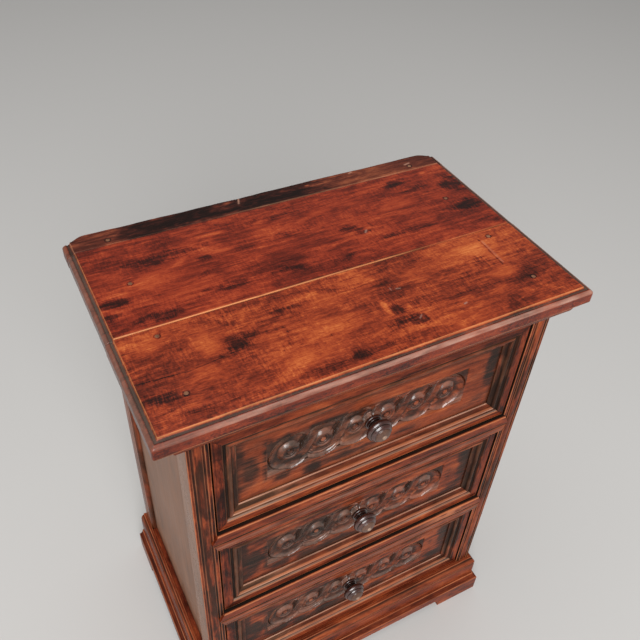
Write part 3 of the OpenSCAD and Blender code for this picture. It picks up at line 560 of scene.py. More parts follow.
GLOWS = (  # x, y, half length, half width, strength of the orange
    (-50, -130, 62, 30, 0.7), (-90, -160, 44, 20, 0.75), (-212, -84, 22, 26, 0.8),
    (-235, -130, 36, 20, 0.8), (225, -60, 44, 17, 0.8), (240, -124, 30, 14, 0.8),
    (200, -155, 40, 12, 0.7), (33, -119, 5, 15, 1.7), (-132, 136, 34, 6, 0.9),
    (-127, 93, 26, 6, 0.8), (110, 128, 44, 14, 0.6), (65, 126, 30, 12, 0.6),
    (-265, 178, 30, 12, 0.7), (-30, 60, 70, 20, 0.4), (-285, -60, 26, 26, 0.5),
    (-140, -110, 22, 20, 0.5), (-20, -75, 50, 12, 0.5), (120, -70, 50, 14, 0.5),
    (215, 190, 60, 10, 0.35), (276, 156, 8, 5, 1.0), (104, 52, 8, 4, 0.9),
    (150, -150, 20, 8, 0.7), (-236, 66, 44, 24, 0.6), (-190, 30, 40, 12, 0.5),
    (262, 84, 26, 9, 0.7), (180, 90, 40, 12, 0.5))
RINGS = (  # x, y, radius, half width, strength: a year ring that closes round a knot
    (-150, -106, 34, 2.2, 0.55), (-150, -106, 27, 1.8, 0.35), (62, -159, 16, 2.0, 0.6),
    (80, -124, 21, 2.2, 0.45), (95, 52, 17, 2.0, 0.5), (217, -81, 17, 2.0, 0.5),
    (217, -81, 11, 1.6, 0.45), (140, -159, 12, 1.8, 0.5))
SCRATCHES = (  # from x, y to x, y, half width, dark, pale
    (-322, -114, -250, -119, 0.9, 0.9, 0.0), (-250, -119, -190, -112, 0.8, 0.5, 0.0),
    (247, -44, 244, -109, 1.3, 0.7, 0.0), (250, -50, 248, -105, 1.0, 0.0, 0.3),
    (67, -91, 73, -93, 0.9, 0.0, 0.7), (64, -158, 70, -153, 0.8, 0.0, 0.6),
    (138, -159, 142, -158, 1.1, 0.0, 0.75), (-52, 196, -46, 212, 1.2, 0.0, 0.8),
    (262, 192, 272, 194, 1.6, 0.0, 0.8), (157, 206, 163, 208, 1.4, 0.0, 0.8),
    (100, 49, 96, 44, 1.4, 0.0, 0.7), (60, -92, 59, -86, 0.7, 0.0, 0.4),
    (-95, 60, -20, 57, 0.8, 0.5, 0.0), (10, -20, 160, -26, 0.8, 0.4, 0.0))


def scratch_marks(x, y):
    """How dark and how pale the scratches make each point, from its distance to each line."""
    dark, pale = np.zeros(x.shape), np.zeros(x.shape)
    for x0, y0, x1, y1, width, dark_strength, pale_strength in SCRATCHES:
        length_squared = (x1 - x0) ** 2 + (y1 - y0) ** 2
        t = np.clip(((x - x0) * (x1 - x0) + (y - y0) * (y1 - y0)) / length_squared, 0, 1)
        near = ridge(np.hypot(x - x0 - t * (x1 - x0), y - y0 - t * (y1 - y0)), 0, width)
        dark, pale = np.maximum(dark, dark_strength * near), np.maximum(pale, pale_strength * near)
    return dark, pale


def ring_marks(x, y):
    """Broken rings: each fades where the noise is low, and is a little longer along the grain."""
    total, broken = np.zeros(x.shape), 0.5 + 0.8 * noise(x / 18, y / 12, 6)
    for cx, cy, radius, width, strength in RINGS:
        distance = np.hypot((x - cx) / 1.15, y - cy) + 2.5 * noise(x / 14, y / 14, 7)
        total = np.maximum(total, strength * broken * ridge(distance, radius, width))
    return total


def blots(x, y, table, seed):
    """The greatest strength * falloff of all ellipses of a table, where falloff drops from 1
    inside to 0 outside and the distance is bent by noise that is drawn out along the grain."""
    bend = noise(x / 22, y / 8, seed, 4)
    total = np.zeros(x.shape)
    for cx, cy, rx, ry, strength in table:
        distance = np.hypot((x - cx) / rx, (y - cy) / ry) + 0.5 * bend
        total = np.maximum(total, strength * (1 - rise(distance, 0.1, 1.7)))
    return total


def strip_shade(x, y):
    """How dark the back strip is: nearly black left of the middle, with lighter flecks."""
    flecks = 0.85 + 0.45 * noise(x / 9, y / 4, 12)
    return rise(y, 171, 174) * (0.3 + 0.55 * rise(x, -285, -225)) * (1 - rise(x, 60, 170)) * flecks


# %% Seams, marks and edge of a board
SEAM_ROLL, ARRIS_ROLL = 1.5, 0.8
PEG_D, PEG_SIDES = 7, 11
PEG_X = box_mm("top_pegs")[1][0] - PEG_D / 2
PEG_YS = (-151.5, -43.0, 73.5, 185.0)
NEAR = 0.01


def near_edges(low, high, spacing):
    """Even lines between two edges, with close ones next to the edges, which are rolled over."""
    near = np.array([0, 0.25, 0.6, 1.1, 1.8])
    even = np.arange(low + 2 + spacing, high - 2, spacing)
    return np.concatenate([near + low, even, high - near[::-1]])


def roll_over(distance, radius):
    """Depth below the surface at a distance from the edge of a quarter round."""
    d = np.clip(radius - distance, 0, radius)
    return radius - np.sqrt(radius ** 2 - 0.93 * d ** 2)


def round_corner(x, y, half_width, front, radius):
    """Points of the square front corners moved onto a quarter circle. u and v are the distances
    from the side and from the front, and the angle runs from 0 on the side to 90 degrees on the
    front as u - v runs from -radius to radius."""
    u, v = half_width - np.abs(x), y - front
    angle = (1 + np.clip((u - v) / radius, -1, 1)) * np.pi / 4
    near = (u < radius) & (v < radius)
    x = np.where(near, np.sign(x) * (half_width - radius * (1 - np.cos(angle))), x)
    return x, np.where(near, front + radius * (1 - np.sin(angle)), y)


def surface_marks(node, x, y, seam_front, seam_back, rim, seed):
    """Marks of the upper side. The seam in front of the middle board is worn most, and the other
    edges of seams mainly right of the middle. The ends of the pegs lie in dark rings."""
    patchy = 0.5 + 0.5 * noise(x / 22, 0.0, seed + 4)
    clean = 0.1 + 0.9 * rise(x, -120, 0)
    fade = 1 - 0.75 * rise(x, 60, 160) if node == "top_middle_board" else 0.35 * clean
    scratched, scraped = scratch_marks(x, y)
    worn = np.maximum.reduce([seam_front * (0.5 + patchy) * fade,
                              0.35 * seam_back * patchy * clean,
                              rise(rim, 0.03, 0.4) * (0.55 + 0.4 * patchy)])
    dark = np.maximum.reduce([blots(x, y, KNOTS, 5), strip_shade(x, y), ring_marks(x, y),
                              1.3 * scratched])
    for peg_y in PEG_YS:
        from_peg = np.hypot(np.abs(x) - PEG_X, y - peg_y)
        dark = np.maximum(dark, 0.9 * ridge(from_peg, 4.2, 1.1))
    none = np.zeros(x.shape)
    return {"worn": worn, "grime": none, "dark": dark, "glow": blots(x, y, GLOWS, 8),
            "pale": scraped, "dry": none}


def edge_rings(base, inner, front, back, moulded_front, seed):
    """The worked edge hung on the rim points `base`, one ring for each point of its outline: a
    point goes out by `reach` and down by `drop`. Points of the front go forwards, points of the
    ends sideways, and the other direction is scaled, so the corners mitre. Nicks are taken off the
    outer part. Returns the points and the marks."""
    x, y, z = base.T
    out, drop = edge_out[1:, None], edge_up[1:, None]
    at_end = np.abs(x) > inner - NEAR
    at_front = moulded_front & (y < front + NEAR)
    nicks = 0.35 * np.clip(noise(x / 9 + y / 9, out / 5, seed + 6, 2), 0, 1) * rise(out, 6, 11)
    reach = out - nicks
    slant = (back - y) / (back - front) if moulded_front else 0
    now_x = np.where(at_end, x + np.sign(x) * reach, x * (inner + reach) / inner)
    now_y = np.where(at_front, y - reach, y - reach * slant)
    if moulded_front:
        now_x, now_y = round_corner(now_x, now_y, inner + reach, front - reach, 0.4 + 0.26 * out)
    fade = rise(-drop, 0, 16)
    now_z = np.maximum(z * (1 - fade) + (TOTAL_H - 0.2) * fade + drop, CASE_TOP)

    along = x + y
    patch = 0.7 + 0.5 * noise(along / 25, out / 6, seed + 7)
    mottled = 0.8 + 0.5 * noise(along / 18, out / 3 + drop / 4, seed + 8)
    from_left = 0.45 + 0.55 * rise(x, -300, -170)
    worn, grime, dark, pale, dry = (edge_marks[key][1:, None]
                                    for key in ("worn", "grime", "dark", "pale", "dry"))
    # the painted highlight on the edge is weaker towards the left end
    marks = {"worn": worn * patch, "dark": dark * mottled, "pale": pale * patch * from_left,
             "grime": np.clip(grime * (1.5 - patch) + 0.36 * at_end * dry, 0, 1),
             "glow": 0 * patch, "dry": dry + 0 * patch}
    return points_of(now_x, now_y, now_z), marks


# %% Build the three boards
def top_board(node, seed, moulded_front=False, step_in=0.0, wavy_back=False):
    """A grid of heights, rolled over at the seams and at the rim, with the worked edge hung on its
    ends and, on the front board, along its front. Flat faces close it below and at the seams."""
    (_, y0, _), (_, y1, _) = box_mm(node)
    inner = top_high[0] - EDGE_W - step_in
    front = y0 + EDGE_W if moulded_front else y0
    x, y = np.meshgrid(near_edges(-inner, inner, 1.7), near_edges(front, y1, 1.4))
    to_back = y1 - y
    if wavy_back:
        off = 1.2 + 1.2 * noise(x / 45, 0.0, seed + 1) + 9 * rise(np.abs(x), 292, inner) ** 2
        y = y - off * rise(y, y1 - 30, y1)
    z = TOTAL_H - 0.3 - 0.18 * noise(x / 90, y / 45, seed) - 0.05 * noise(x / 200, y / 5, seed + 9)
    radius = SEAM_ROLL * (0.8 + 0.45 * noise(x / 30, 0.0, seed + 2))
    rim = roll_over(inner - np.abs(x), ARRIS_ROLL)
    if moulded_front:
        rim = np.maximum(rim, roll_over(y - front, ARRIS_ROLL))
        seam_front = 0 * x
    else:
        z = z - roll_over(y - y0, radius)
        seam_front = 1 - rise(y - y0, 0.6, 2.2)
    z = z - roll_over(to_back, radius * (1.6 if wavy_back else 1.0)) - 0.6 * rim
    seam_back = 1 - rise(to_back, 0.3, 1.6)

    index = np.arange(x.size).reshape(x.shape)
    left, right = index[::-1, 0], index[:, -1]
    rims = [np.concatenate([left, index[0, 1:-1], right])] if moulded_front else [left, right]
    points, faces, ends = [points_of(x, y, z)], quads(index), []
    parts = [surface_marks(node, x, y, seam_front, seam_back, rim, seed)]
    for path in rims:
        rings, marks = edge_rings(points[0][path], inner, front, y1, moulded_front, seed)
        first = sum(len(part) for part in points)
        numbers = first + np.arange(len(rings)).reshape(-1, len(path))
        ends.append(np.vstack([path, numbers]))
        faces += quads(ends[-1])
        points.append(rings)
        parts.append(marks)
    left, right = ends[0], ends[-1]
    faces.append(np.concatenate([end[-1] for end in ends]).tolist())
    faces.append(np.concatenate([index[-1], right[1:, -1], left[1:, 0][::-1]]).tolist())
    if not moulded_front:
        faces.append(np.concatenate([index[0], right[1:, 0], left[1:, -1][::-1]]).tolist())
    make_piece(node + "_worn", np.vstack(points), faces, joined(parts), "case",
               node)


top_board("top_front_board", 71, moulded_front=True)
top_board("top_middle_board", 75, step_in=0.6)
top_board("top_back_strip", 79, step_in=0.2, wavy_back=True)

# %% [markdown]
# ### Pegs
# The boards are held down by wooden pegs, split and whittled rather than turned, then planed off
# with the top. Each is a slightly uneven round, its end rolled over a little.

# %% Whittle the pegs
peg_bottom = box_mm("top_pegs")[0][2]
levels = np.array([peg_bottom, TOTAL_H - 0.35, TOTAL_H - 0.1, TOTAL_H - 0.03])[:, None]
scale = np.array([1.0, 1.0, 0.9, 0.6])[:, None]
angle = np.arange(PEG_SIDES) * 2 * np.pi / PEG_SIDES
peg_points, peg_faces = [], []
dice = np.random.default_rng(83)
for x0 in (-PEG_X, PEG_X):
    for y0 in PEG_YS:
        radius = PEG_D / 2 * dice.uniform(0.84, 1.0, PEG_SIDES)
        peg_faces += tube_faces(4, PEG_SIDES, first=len(peg_points) * 4 * PEG_SIDES)
        peg_points.append(points_of(x0 + scale * radius * np.cos(angle),
                                    y0 + scale * radius * np.sin(angle), levels))
make_piece("top_pegs_whittled", np.vstack(peg_points), peg_faces, {}, "case",
           "top_pegs")

# %% [markdown]
# ## Side panels
# A panel is one wide board, planed by hand across a slightly hollow sole, so its face is a grid
# with long shallow waves up and down. Its rim sits in the grooves of the frame.

# %% A slab whose front is a grid
def make_slab(name, x, y, z, axis, back, marks, body, replaced):
    """A board with a grid of points for its front. Walls lead from the rim of the grid to the same
    rim moved to `back` along the axis (0 is x, 1 is y), where one flat face closes the board."""
    front, shape = points_of(x, y, z), z.shape
    index = np.arange(len(front)).reshape(shape)
    rim = np.concatenate([index[0, :-1], index[:-1, -1], index[-1, :0:-1], index[:0:-1, 0]])
    behind = len(front) + np.arange(len(rim))
    moved = front[rim]
    moved[:, axis] = back
    walls = np.stack([rim, np.roll(rim, -1), np.roll(behind, -1), behind], axis=-1)
    rim_marks = {key: value.ravel()[rim] for key, value in marks.items()}
    make_piece(name, np.vstack([front, moved]), quads(index) + walls.tolist() + [behind.tolist()],
               joined([marks, rim_marks]), body, replaced)


# %% Plane the side panels
TOP_RAIL_H = 55


def side_panel(side, seed):
    """Long shallow hollows across the face, painted shade along the frame, which stands proud of
    it, and faint dark patches.
    """
    node = f"{side}_side_panel"
    low, high = box_mm(node)
    sign = -1 if side == "left" else 1
    back_x, face_x = sorted((abs(low[0]), abs(high[0])))
    y, z = np.meshgrid(np.linspace(low[1], high[1], 70), np.linspace(low[2], high[2], 90))
    hollow = (0.5 * (0.5 + 0.5 * noise(y / 30, z / 260, seed))
              + 0.1 * (1 + noise(y / 8, z / 90, seed + 1)))
    edge = np.minimum.reduce([y - POST_BACK, box_mm(f"rear_{side}_post")[0][1] - y,
                              z - BASE_TOP, CASE_TOP - TOP_RAIL_H - z])
    # painted shade along the edges of the panel, next to the frame
    dirt_and_shade = 0.75 * (1 - rise(edge, 1, 12)) * (0.8 + 0.4 * noise(y / 12, z / 30, seed + 2))
    marks = {"grime": dirt_and_shade, "dark": 0.4 * rise(noise(y / 60, z / 160, seed + 3), 0.0, 0.6)}
    make_slab(node + "_planed", sign * (face_x - hollow), y, z, 0, sign * back_x, marks, "case",
              node)


side_panel("left", 91)
side_panel("right", 95)

# %% [markdown]
# ## Drawer frames
# Round the carved board of each drawer lies a mitred frame: a flat, an arris, and a bead between
# two coves that step down to the board. The four lengths are separate, with an open mitre.

# %% Mitre the frames
FRAME_MOULD, MITRE = 21, 0.3
DRAWERS = {"top": 15, "middle": 16, "bottom": 16}  # width of the flat of each drawer's frame
# In this table the dark and the dirt are partly painted shade, which differs from side to side,
# and the sheen is a painted highlight, strongest on the bottom length, which faces up.
FRAME_LOOK = {  # wear, dirt, dark, dry, sheen of each length: the bottom one catches the light
    "bottom": (1.6, 0.9, 0.0, 0.15, 1.0), "top": (0.2, 1.3, 0.42, 0.3, 0.0),
    "left": (0.25, 1.4, 1.15, 0.4, 0.05), "right": (0.1, 1.5, 1.4, 0.4, 0.0)}
CRESTS = ((0.5, 0.7), (0.42 * FRAME_MOULD, 1.2), (FRAME_MOULD - 0.4, 1.0))  # place, half width


def frame_outline(flat, height):
    """Distance in from the outer edge, and height above the board: flat, cove, bead and cove."""
    r, low, foot, width = 0.2 * FRAME_MOULD, 0.55 * height, 0.25 * height, flat + FRAME_MOULD
    return [(0, 0), (0, height), (flat, height),
            arc(flat + r, height, r, height - low, 180, 270, 8),
            arc(flat + 2 * r, low, r, 0.3 * height, 180, 0, 12),
            arc(width - r, low, r, low - foot, 180, 270, 8), (width, foot), (width, 0)]


def frame_marks(side, along, across, start, end, flat, seed):
    """Marks of one length: dark in the mouldings, with painted shade that differs from side to
    side, and dark in the mitres; second colours in ragged patches; and painted highlights along
    the crests. The left part of the bottom length has lost its polish."""
    _, _, stain_and_side_shade, dryness, sheen = FRAME_LOOK[side]
    moulded = rise(across, flat - 3, flat + 3)
    ragged = rise(noise(along / 26, across / 5, seed + 13, 4), -0.1, 0.12)
    mitre = np.minimum(along - start, end - along) - across
    near_left = (1 - rise(along - start, 40, 190)) * (side == "bottom")
    in_mitre = (0.7 * (1 - rise(mitre, 4, 30))
                * (0.6 + 0.5 * noise(along / 12, across / 9, seed + 15)))
    uneven = 0.65 + 0.5 * noise(along / 40, across / 6, seed + 17) + along / 1200 + 0.5 * near_left
    # the whole left length is darker with painted shade
    return {"dark": np.maximum.reduce([
                stain_and_side_shade * rise(across, flat - 9, flat + 2) * (0.55 + 0.75 * ragged), in_mitre,
                0.5 * (side == "left") + 0.75 * near_left * moulded]),
            "pale": sheen * uneven,
            "dry": moulded * np.maximum(dryness * (0.4 + 0.7 * ragged), 0.8 * near_left),
            "upright": np.full(along.shape, float(side in ("left", "right")))}


def drawer_frame(drawer, flat, seed):
    """Four lengths with mitred ends: a point that lies further in starts later and ends sooner by
    as much, and the mitre stays open by a hair."""
    low, high = box_mm(f"{drawer}_drawer_frame")
    height = high[1] - low[1]
    outline, worn, grime = worn_outline(frame_outline(flat, height), 0.7)
    inward, level = outline.T
    gap = MITRE / math.sqrt(2)
    # painted shade on the outer faces of the frame, which look into the gaps round the drawer
    painted_gap_shade = (1 - rise(inward, 0.3, 0.9)) * (1 - rise(level, height - 2.5, height - 1))
    crests = sum(ridge(inward - flat, at, width) for at, width in CRESTS)
    points, faces, parts = [], [], []
    for number, (side, (wear, dirt_and_shade, *_)) in enumerate(FRAME_LOOK.items()):
        upright = side in ("left", "right")
        start, end = (low[2], high[2]) if upright else (low[0], high[0])
        laid = run(outline[:, ::-1], start + gap + inward, end - gap - inward, FINE_RING,
                   seed + number, uneven=0.35)
        along, raised, across = (laid[..., k] for k in range(3))
        k = 0 if upright else 2
        there = low[k] + across if side in ("bottom", "left") else high[k] - across
        x, z = (there, along) if upright else (along, there)
        faces += tube_faces(*along.shape, first=sum(len(part) for part in points))
        points.append(points_of(x, high[1] - raised, z))
        marks = {**along_marks(along, worn, grime, seed + 9 + number, wear, dirt_and_shade),
                 **frame_marks(side, along, across, start, end, flat, seed)}
        marks["worn"] = marks["worn"] * (1 - 0.75 * rise(across, flat + 13, flat + 18))
        marks["grime"] = np.maximum(marks["grime"], painted_gap_shade)
        marks["pale"] = marks["pale"] * crests
        parts.append(marks)
    make_piece(f"{drawer}_drawer_frame_worn", np.vstack(points), faces, joined(parts),
               f"{drawer}_drawer", f"{drawer}_drawer_frame")


for drawer, flat in DRAWERS.items():
    drawer_frame(drawer, flat, 100 + 20 * len(drawer))

# %% [markdown]
# ## Carved drawer fronts
# The guilloche is two bands that wind past each other round six eyes. The carver sinks the ground,
# hollows each band between two narrow edges, and lets the band that climbs to the right pass over
# the other. On a fine grid the depth at each point comes from its distance to the two middle
# lines, so the hollows and the over and under work themselves out. Small leaves fill the upper
# gaps between the eyes, and facets the outer corners.

# %% Middle line of a band and the distance to it
EYES, PITCH, FIELD_H, GROUND, RELIEF, BAND_W = 6, 52.5, 76, 6.5, 0.3, 13
HALF_RUN = (EYES - 1) / 2 * PITCH
END_RUN = PITCH / 2 + 1
BAND_AMP = (FIELD_H - BAND_W) / 2 - 2.5
FIELD_W = 2 * (HALF_RUN + END_RUN + BAND_W / 2 + 3)
CARVING_X = -5.5
KNOB_X = -4


def band_line():
    """z = A sin(pi x / pitch) between the outer eyes, closed round them by half ellipses."""
    turn_in = np.linspace(0, np.pi / 2, 60)
    x_end = HALF_RUN + END_RUN * np.cos(turn_in)
    z_end = BAND_AMP * np.sin(turn_in)
    x = np.linspace(-HALF_RUN, HALF_RUN, 700)
    z = BAND_AMP * np.sin(np.pi * x / PITCH)
    left = np.stack([-x_end, z[0] / BAND_AMP * z_end], axis=1)
    right = np.stack([x_end, z[-1] / BAND_AMP * z_end], axis=1)[::-1]
    return np.vstack([left, np.stack([x, z], axis=1), right])


def to_line(x, z, line):
    """Distance from each point to the nearest point of the line, and the line's climb there."""
    climb = np.gradient(line[:, 1]) * np.sign(np.gradient(line[:, 0]) + 1e-9)
    distance, slope = np.empty(x.shape), np.empty(x.shape)
    for row in range(len(x)):
        d = np.hypot(x[row][:, None] - line[:, 0], z[row][:, None] - line[:, 1])
        nearest = d.argmin(axis=1)
        distance[row] = d[np.arange(len(nearest)), nearest]
        slope[row] = climb[nearest]
    return distance, slope


# %% Section of an eye
# radius and depth from the middle out: button, groove, small ring, groove, crest, slope, ground
EYE_SECTION = ((0, 1.2), (3.4, 1.5), (4.8, 2.7), (5.8, 4.0), (6.8, 2.8), (7.8, 1.9), (8.8, 2.2),
               (9.5, 2.5), (10.4, 1.4), (11.6, 0.7), (12.8, 0.8), (14.2, 1.6), (16.0, 3.1),
               (17.8, 4.8), (19.6, 6.1), (21.6, 6.5))
EYE_R = EYE_SECTION[-1][0]
BUTTON_WEAR = (0.15, 1.0, 0.1, 0.45, 0.5, 0.45)  # how far each button is rubbed to orange wood
fine_r = np.linspace(0, EYE_R, 200)
section = np.interp(fine_r, *np.array(EYE_SECTION).T)
for _ in range(25):
    section[1:-1] = (section[:-2] + 2 * section[1:-1] + section[2:]) / 4


# %% Depth of the carving
BAND_HALF, FULL = 7.6, GROUND - RELIEF


def band_depth(distance, winding, hollow):
    """A ribbon hollowed between two narrow edges. Where it winds round an eye, it opens out into
    the hollow of the ring."""
    ribbon = RELIEF + 2.3 * np.maximum(1 - (distance / (0.8 * BAND_HALF)) ** 2, 0)
    ribbon = ribbon + FULL * rise(distance, 0.92 * BAND_HALF, 1.1 * BAND_HALF)
    return np.minimum(ribbon + winding * (hollow - ribbon), GROUND)


def carve(x, z):
    """Depth below the face of the board at (x, z), measured from the middle of the carving, and
    the marks of each point."""
    line = band_line()
    near_a, climb_a = to_line(x, z, line)
    near_b, climb_b = to_line(x, z, line * (1, -1))
    a_on_top = climb_a >= climb_b
    nearest_eye = np.clip(np.round((x + HALF_RUN) / PITCH), 0, EYES - 1) * PITCH - HALF_RUN
    r = np.hypot(x - nearest_eye, z)
    between_eyes = np.abs(x) < HALF_RUN

    # round an eye the band is hollow: steep at its outer edge and level towards the eye
    outer_r = BAND_AMP + 8.5 - 4.0 * rise(np.abs(x), HALF_RUN, HALF_RUN + 10)
    hollow = np.where(r > outer_r, GROUND, RELIEF + FULL * (1 - np.exp((r - outer_r) / 5)))
    steepest = np.abs(climb_a).max()
    wind_a, wind_b = (np.where(np.abs(x) > HALF_RUN, 1.0,
                               1 - rise(np.abs(climb) / steepest, 0.45, 0.95))
                      for climb in (climb_a, climb_b))
    band_a, band_b = band_depth(near_a, wind_a, hollow), band_depth(near_b, wind_b, hollow)

    # the lower band dips under the edge of the upper, and the ring has ribs below the second eye
    over = np.where(a_on_top, near_a, near_b)
    winding = np.where(a_on_top, wind_a, wind_b)
    dip = FULL * (1 - rise(over, BAND_HALF + 1, BAND_HALF + 13)) * between_eyes
    bands = np.minimum(np.where(a_on_top, band_a, band_b),
                       np.where(a_on_top, band_b, band_a) + dip)
    from_second = np.abs(x + 1.5 * PITCH)
    ribbed = (from_second < 24) & (z < -12) & (from_second < -1.2 * z)
    ribs = 0.5 + 0.5 * np.cos((r - 24) * 2 * np.pi / 4.2)
    bands = bands + 0.8 * ribbed * ribs * rise(r, 21, 23)

    # eyes, leaves in the upper gaps, facets in the corners, and the flat under the knob
    eye = np.where(r < EYE_R, np.interp(r, fine_r, section), GROUND)
    crossing = np.abs((x / PITCH) - np.round(x / PITCH)) * PITCH
    leaf = rise(z - 19 - 1.3 * crossing, 0, 5) * between_eyes
    corner = rise(r - outer_r, 0.4, 3.0) * (np.abs(x) > HALF_RUN + 4)
    facet = GROUND - np.maximum(4.2 * leaf, (3.4 + 0.16 * (38 - np.abs(z))) * corner)
    inside = rise(np.minimum(FIELD_W / 2 - np.abs(x), FIELD_H / 2 - np.abs(z)), -0.4, 1.2)
    knob = np.hypot(x + CARVING_X - KNOB_X, z)
    depth = np.minimum.reduce([bands, eye, facet]) * inside * rise(knob, 15.0, 16.2)
    tool = 0.25 * noise(x / 5, z / 5, 131, 2) + 0.2 * noise(x / 14, z / 14, 132, 2)
    depth = np.clip(depth + tool * rise(depth, 0.2, 1.0), 0, GROUND)

    # darker deep down, beside the band edges and in the ring grooves, but not on slopes that face
    # up;
    # painted shade on the upper corner facets, which face down, and painted highlights on slopes
    # that face up and on the lower corner facets
    edge_darkening = ridge(over, BAND_HALF + 0.3, 1.2) * (1 - 0.6 * winding)
    groove = 0.9 * ridge(r, 9.3, 0.9) + ridge(r, 5.9, 1.0)
    eye_number = np.round((nearest_eye + HALF_RUN) / PITCH).astype(int)
    button = (1 - rise(r, 3.4, 4.6)) * np.array(BUTTON_WEAR)[eye_number]
    ribbon_top = (1 - rise(over, BAND_HALF - 2.5, BAND_HALF)) * (1 - winding)
    upward = np.gradient(depth, axis=0) / np.gradient(z, axis=0)
    catching = rise(upward, 0.15, 0.75) * rise(r, 6.3, 7.3)
    ledge = rise(upward, 0.12, 0.7) * rise(-z, 19, 25) * (r > EYE_R)
    caught = np.maximum(0.45 * catching, 0.4 * ledge) * (0.7 + 0.4 * noise(x / 14, z / 14, 138))
    marks = {"grime": np.clip(0.75 * rise(depth, 4.6, 6.3) * (1 - catching) + 0.95 * edge_darkening
                              + 0.8 * groove + 0.3 * ribbon_top + 0.7 * corner * (z > 0), 0, 1),
             "worn": np.maximum(0.8 * button, 0.25 * rise(noise(x / 9, z / 9, 134), 0.1, 0.6)),
             "dark": np.clip(0.52 + 0.4 * noise(x / 12, z / 10, 137) - button
                             - 0.25 * ribbon_top, 0, 1),
             "pale": np.maximum(0.35 * corner * (z < -20), caught),
             "gloss": 0.1 + 0.62 * catching,
             "dry": 0.5 - 0.35 * rise(x + 0.8 * z, -20, 60) - 0.3 * button}
    return depth, {key: np.clip(inside * value, 0, 1) for key, value in marks.items()}


# %% Cut the fronts
FINE, COARSE, MARGIN, CARVING_UP = 0.75, 7.0, 1.5, 2


def front_lines(low, high, fine_low, fine_high):
    """Fine lines across the carving and coarse ones on both sides of it."""
    fine = np.linspace(fine_low, fine_high, int((fine_high - fine_low) / FINE) + 1)
    before = np.linspace(low, fine_low, max(3, int((fine_low - low) / COARSE)) + 1)[:-1]
    after = np.linspace(fine_high, high, max(3, int((high - fine_high) / COARSE)) + 1)[1:]
    return np.concatenate([before, fine, after])


# dark patches: x, z from the middle of the carving, half width, half height, strength
FRONT_PATCHES = (
    (-198, -5, 15, 26, 1.2), (-208, -38, 20, 10, 0.7), (-100, -56, 16, 10, 1.2),
    (-40, -54, 50, 9, 1.0), (207, 30, 11, 44, 1.2), (-213, 20, 9, 50, 0.8),
    (-120, 56, 30, 6, 0.35), (60, -52, 30, 6, 0.6), (195, -44, 18, 12, 0.5),
    (-150, -46, 16, 9, 0.8), (150, 54, 34, 5, 0.35), (-60, 58, 70, 4, 0.3),
    (170, -56, 40, 5, 0.5), (178, 12, 10, 8, 0.4), (-182, 44, 22, 7, 0.5))


def carved_front(drawer, seed):
    """A board planed a little uneven, with the carving cut into it. Polish has gone dark in
    patches and round the left half of the carving. The board is darker next to the frame, and the
    two lower boards are darker all over. Returns the middle height."""
    node = f"{drawer}_drawer_front"
    low, high = box_mm(node)
    middle_z = (low[2] + high[2]) / 2 + CARVING_UP
    half_w, half_h = FIELD_W / 2, FIELD_H / 2
    xs = front_lines(low[0] + 0.3, high[0] - 0.3, CARVING_X - half_w - MARGIN,
                     CARVING_X + half_w + MARGIN)
    zs = front_lines(low[2], high[2], middle_z - half_h - MARGIN, middle_z + half_h + MARGIN)
    x, z = np.meshgrid(xs, zs)
    from_x, from_z = x - CARVING_X, z - middle_z
    depth, marks = carve(from_x, from_z)
    board = 0.15 * (1 + noise(x / 70, z / 25, seed))
    y = low[1] + np.maximum(depth, board * (depth < 0.05))

    patches = blots(x, from_z, FRONT_PATCHES, seed + 3)
    outside = np.maximum(np.abs(from_x) - half_w, np.abs(from_z) - half_h)
    halo = ((1 - rise(outside + 7 * noise(x / 11, z / 8, seed + 6), -1, 9))
            * (1 - rise(x, -60, 60)))
    to_edge = np.minimum.reduce([x - low[0], high[0] - x, z - low[2], high[2] - z])
    to_frame = to_edge - (DRAWERS[drawer] + FRAME_MOULD)
    rim_darkening = 0.7 * (1 - rise(to_frame + 2.5 * noise(x / 9, z / 9, seed + 5), 1, 9))
    lower_drawer_darkening = 0.0 if drawer == "top" else 0.3
    marks["dark"] = np.maximum.reduce([patches + lower_drawer_darkening, marks["dark"],
                                       0.75 * halo * (outside > 0)])
    marks["dry"] = np.where(outside < 0, marks["dry"], np.maximum(0.55 * patches, 0.6 * halo))
    marks["grime"] = np.maximum(marks["grime"], rim_darkening)
    make_slab(node + "_carved", x, y, z, 1, high[1], marks, f"{drawer}_drawer",
              node)
    return middle_z


knob_heights = {drawer: carved_front(drawer, 140 + 10 * len(drawer)) for drawer in DRAWERS}
print("knobs at", knob_heights)

# %% [markdown]
# ## Turned knobs
# A knob is turned between centres: a collar, a neck with a bead, and a flattened bulb with ring
# lines. The spigot runs right through and shows as a pale end at the tip. Its profile is a list of
# radii and heights, made smooth and spun round the axis that points out of the drawer.

# %% Turn the knobs
KNOB_SIDES = 72


def knob_profile(reach):
    """Radius and height above the board, from the collar out to the tip."""
    return [(0, 0.05), (13.2, 0.05), arc(12.2, 2, 1.9, 1.9, -80, 90, 8), (11.0, 4.0), (9.4, 4.3),
            arc(9.8, 5.8, 2.2, 1.2, -70, 80, 8), (8.2, 7.3), arc(8.9, 8.6, 1.9, 0.9, -70, 80, 8),
            (8.2, 9.9), (8.6, 11.2), (11.0, 12.0), (15.5, 12.6), (18.8, 14.2), (20.5, 16.4),
            (21.0, 18.6), (20.6, 20.5), (19.4, 22.1), (18.3, 23.0), (17.2, 23.2), (17.4, 24.1),
            (17.9, 24.6), (16.6, 26.3), (15.0, 27.8), (13.8, 28.6), (12.7, 28.7), (12.9, 29.6),
            (11.6, 30.9), (8.8, 32.4), (5.6, 33.4), (3.5, 33.6), (3.3, reach - 0.3),
            (2.5, reach), (0, reach)]


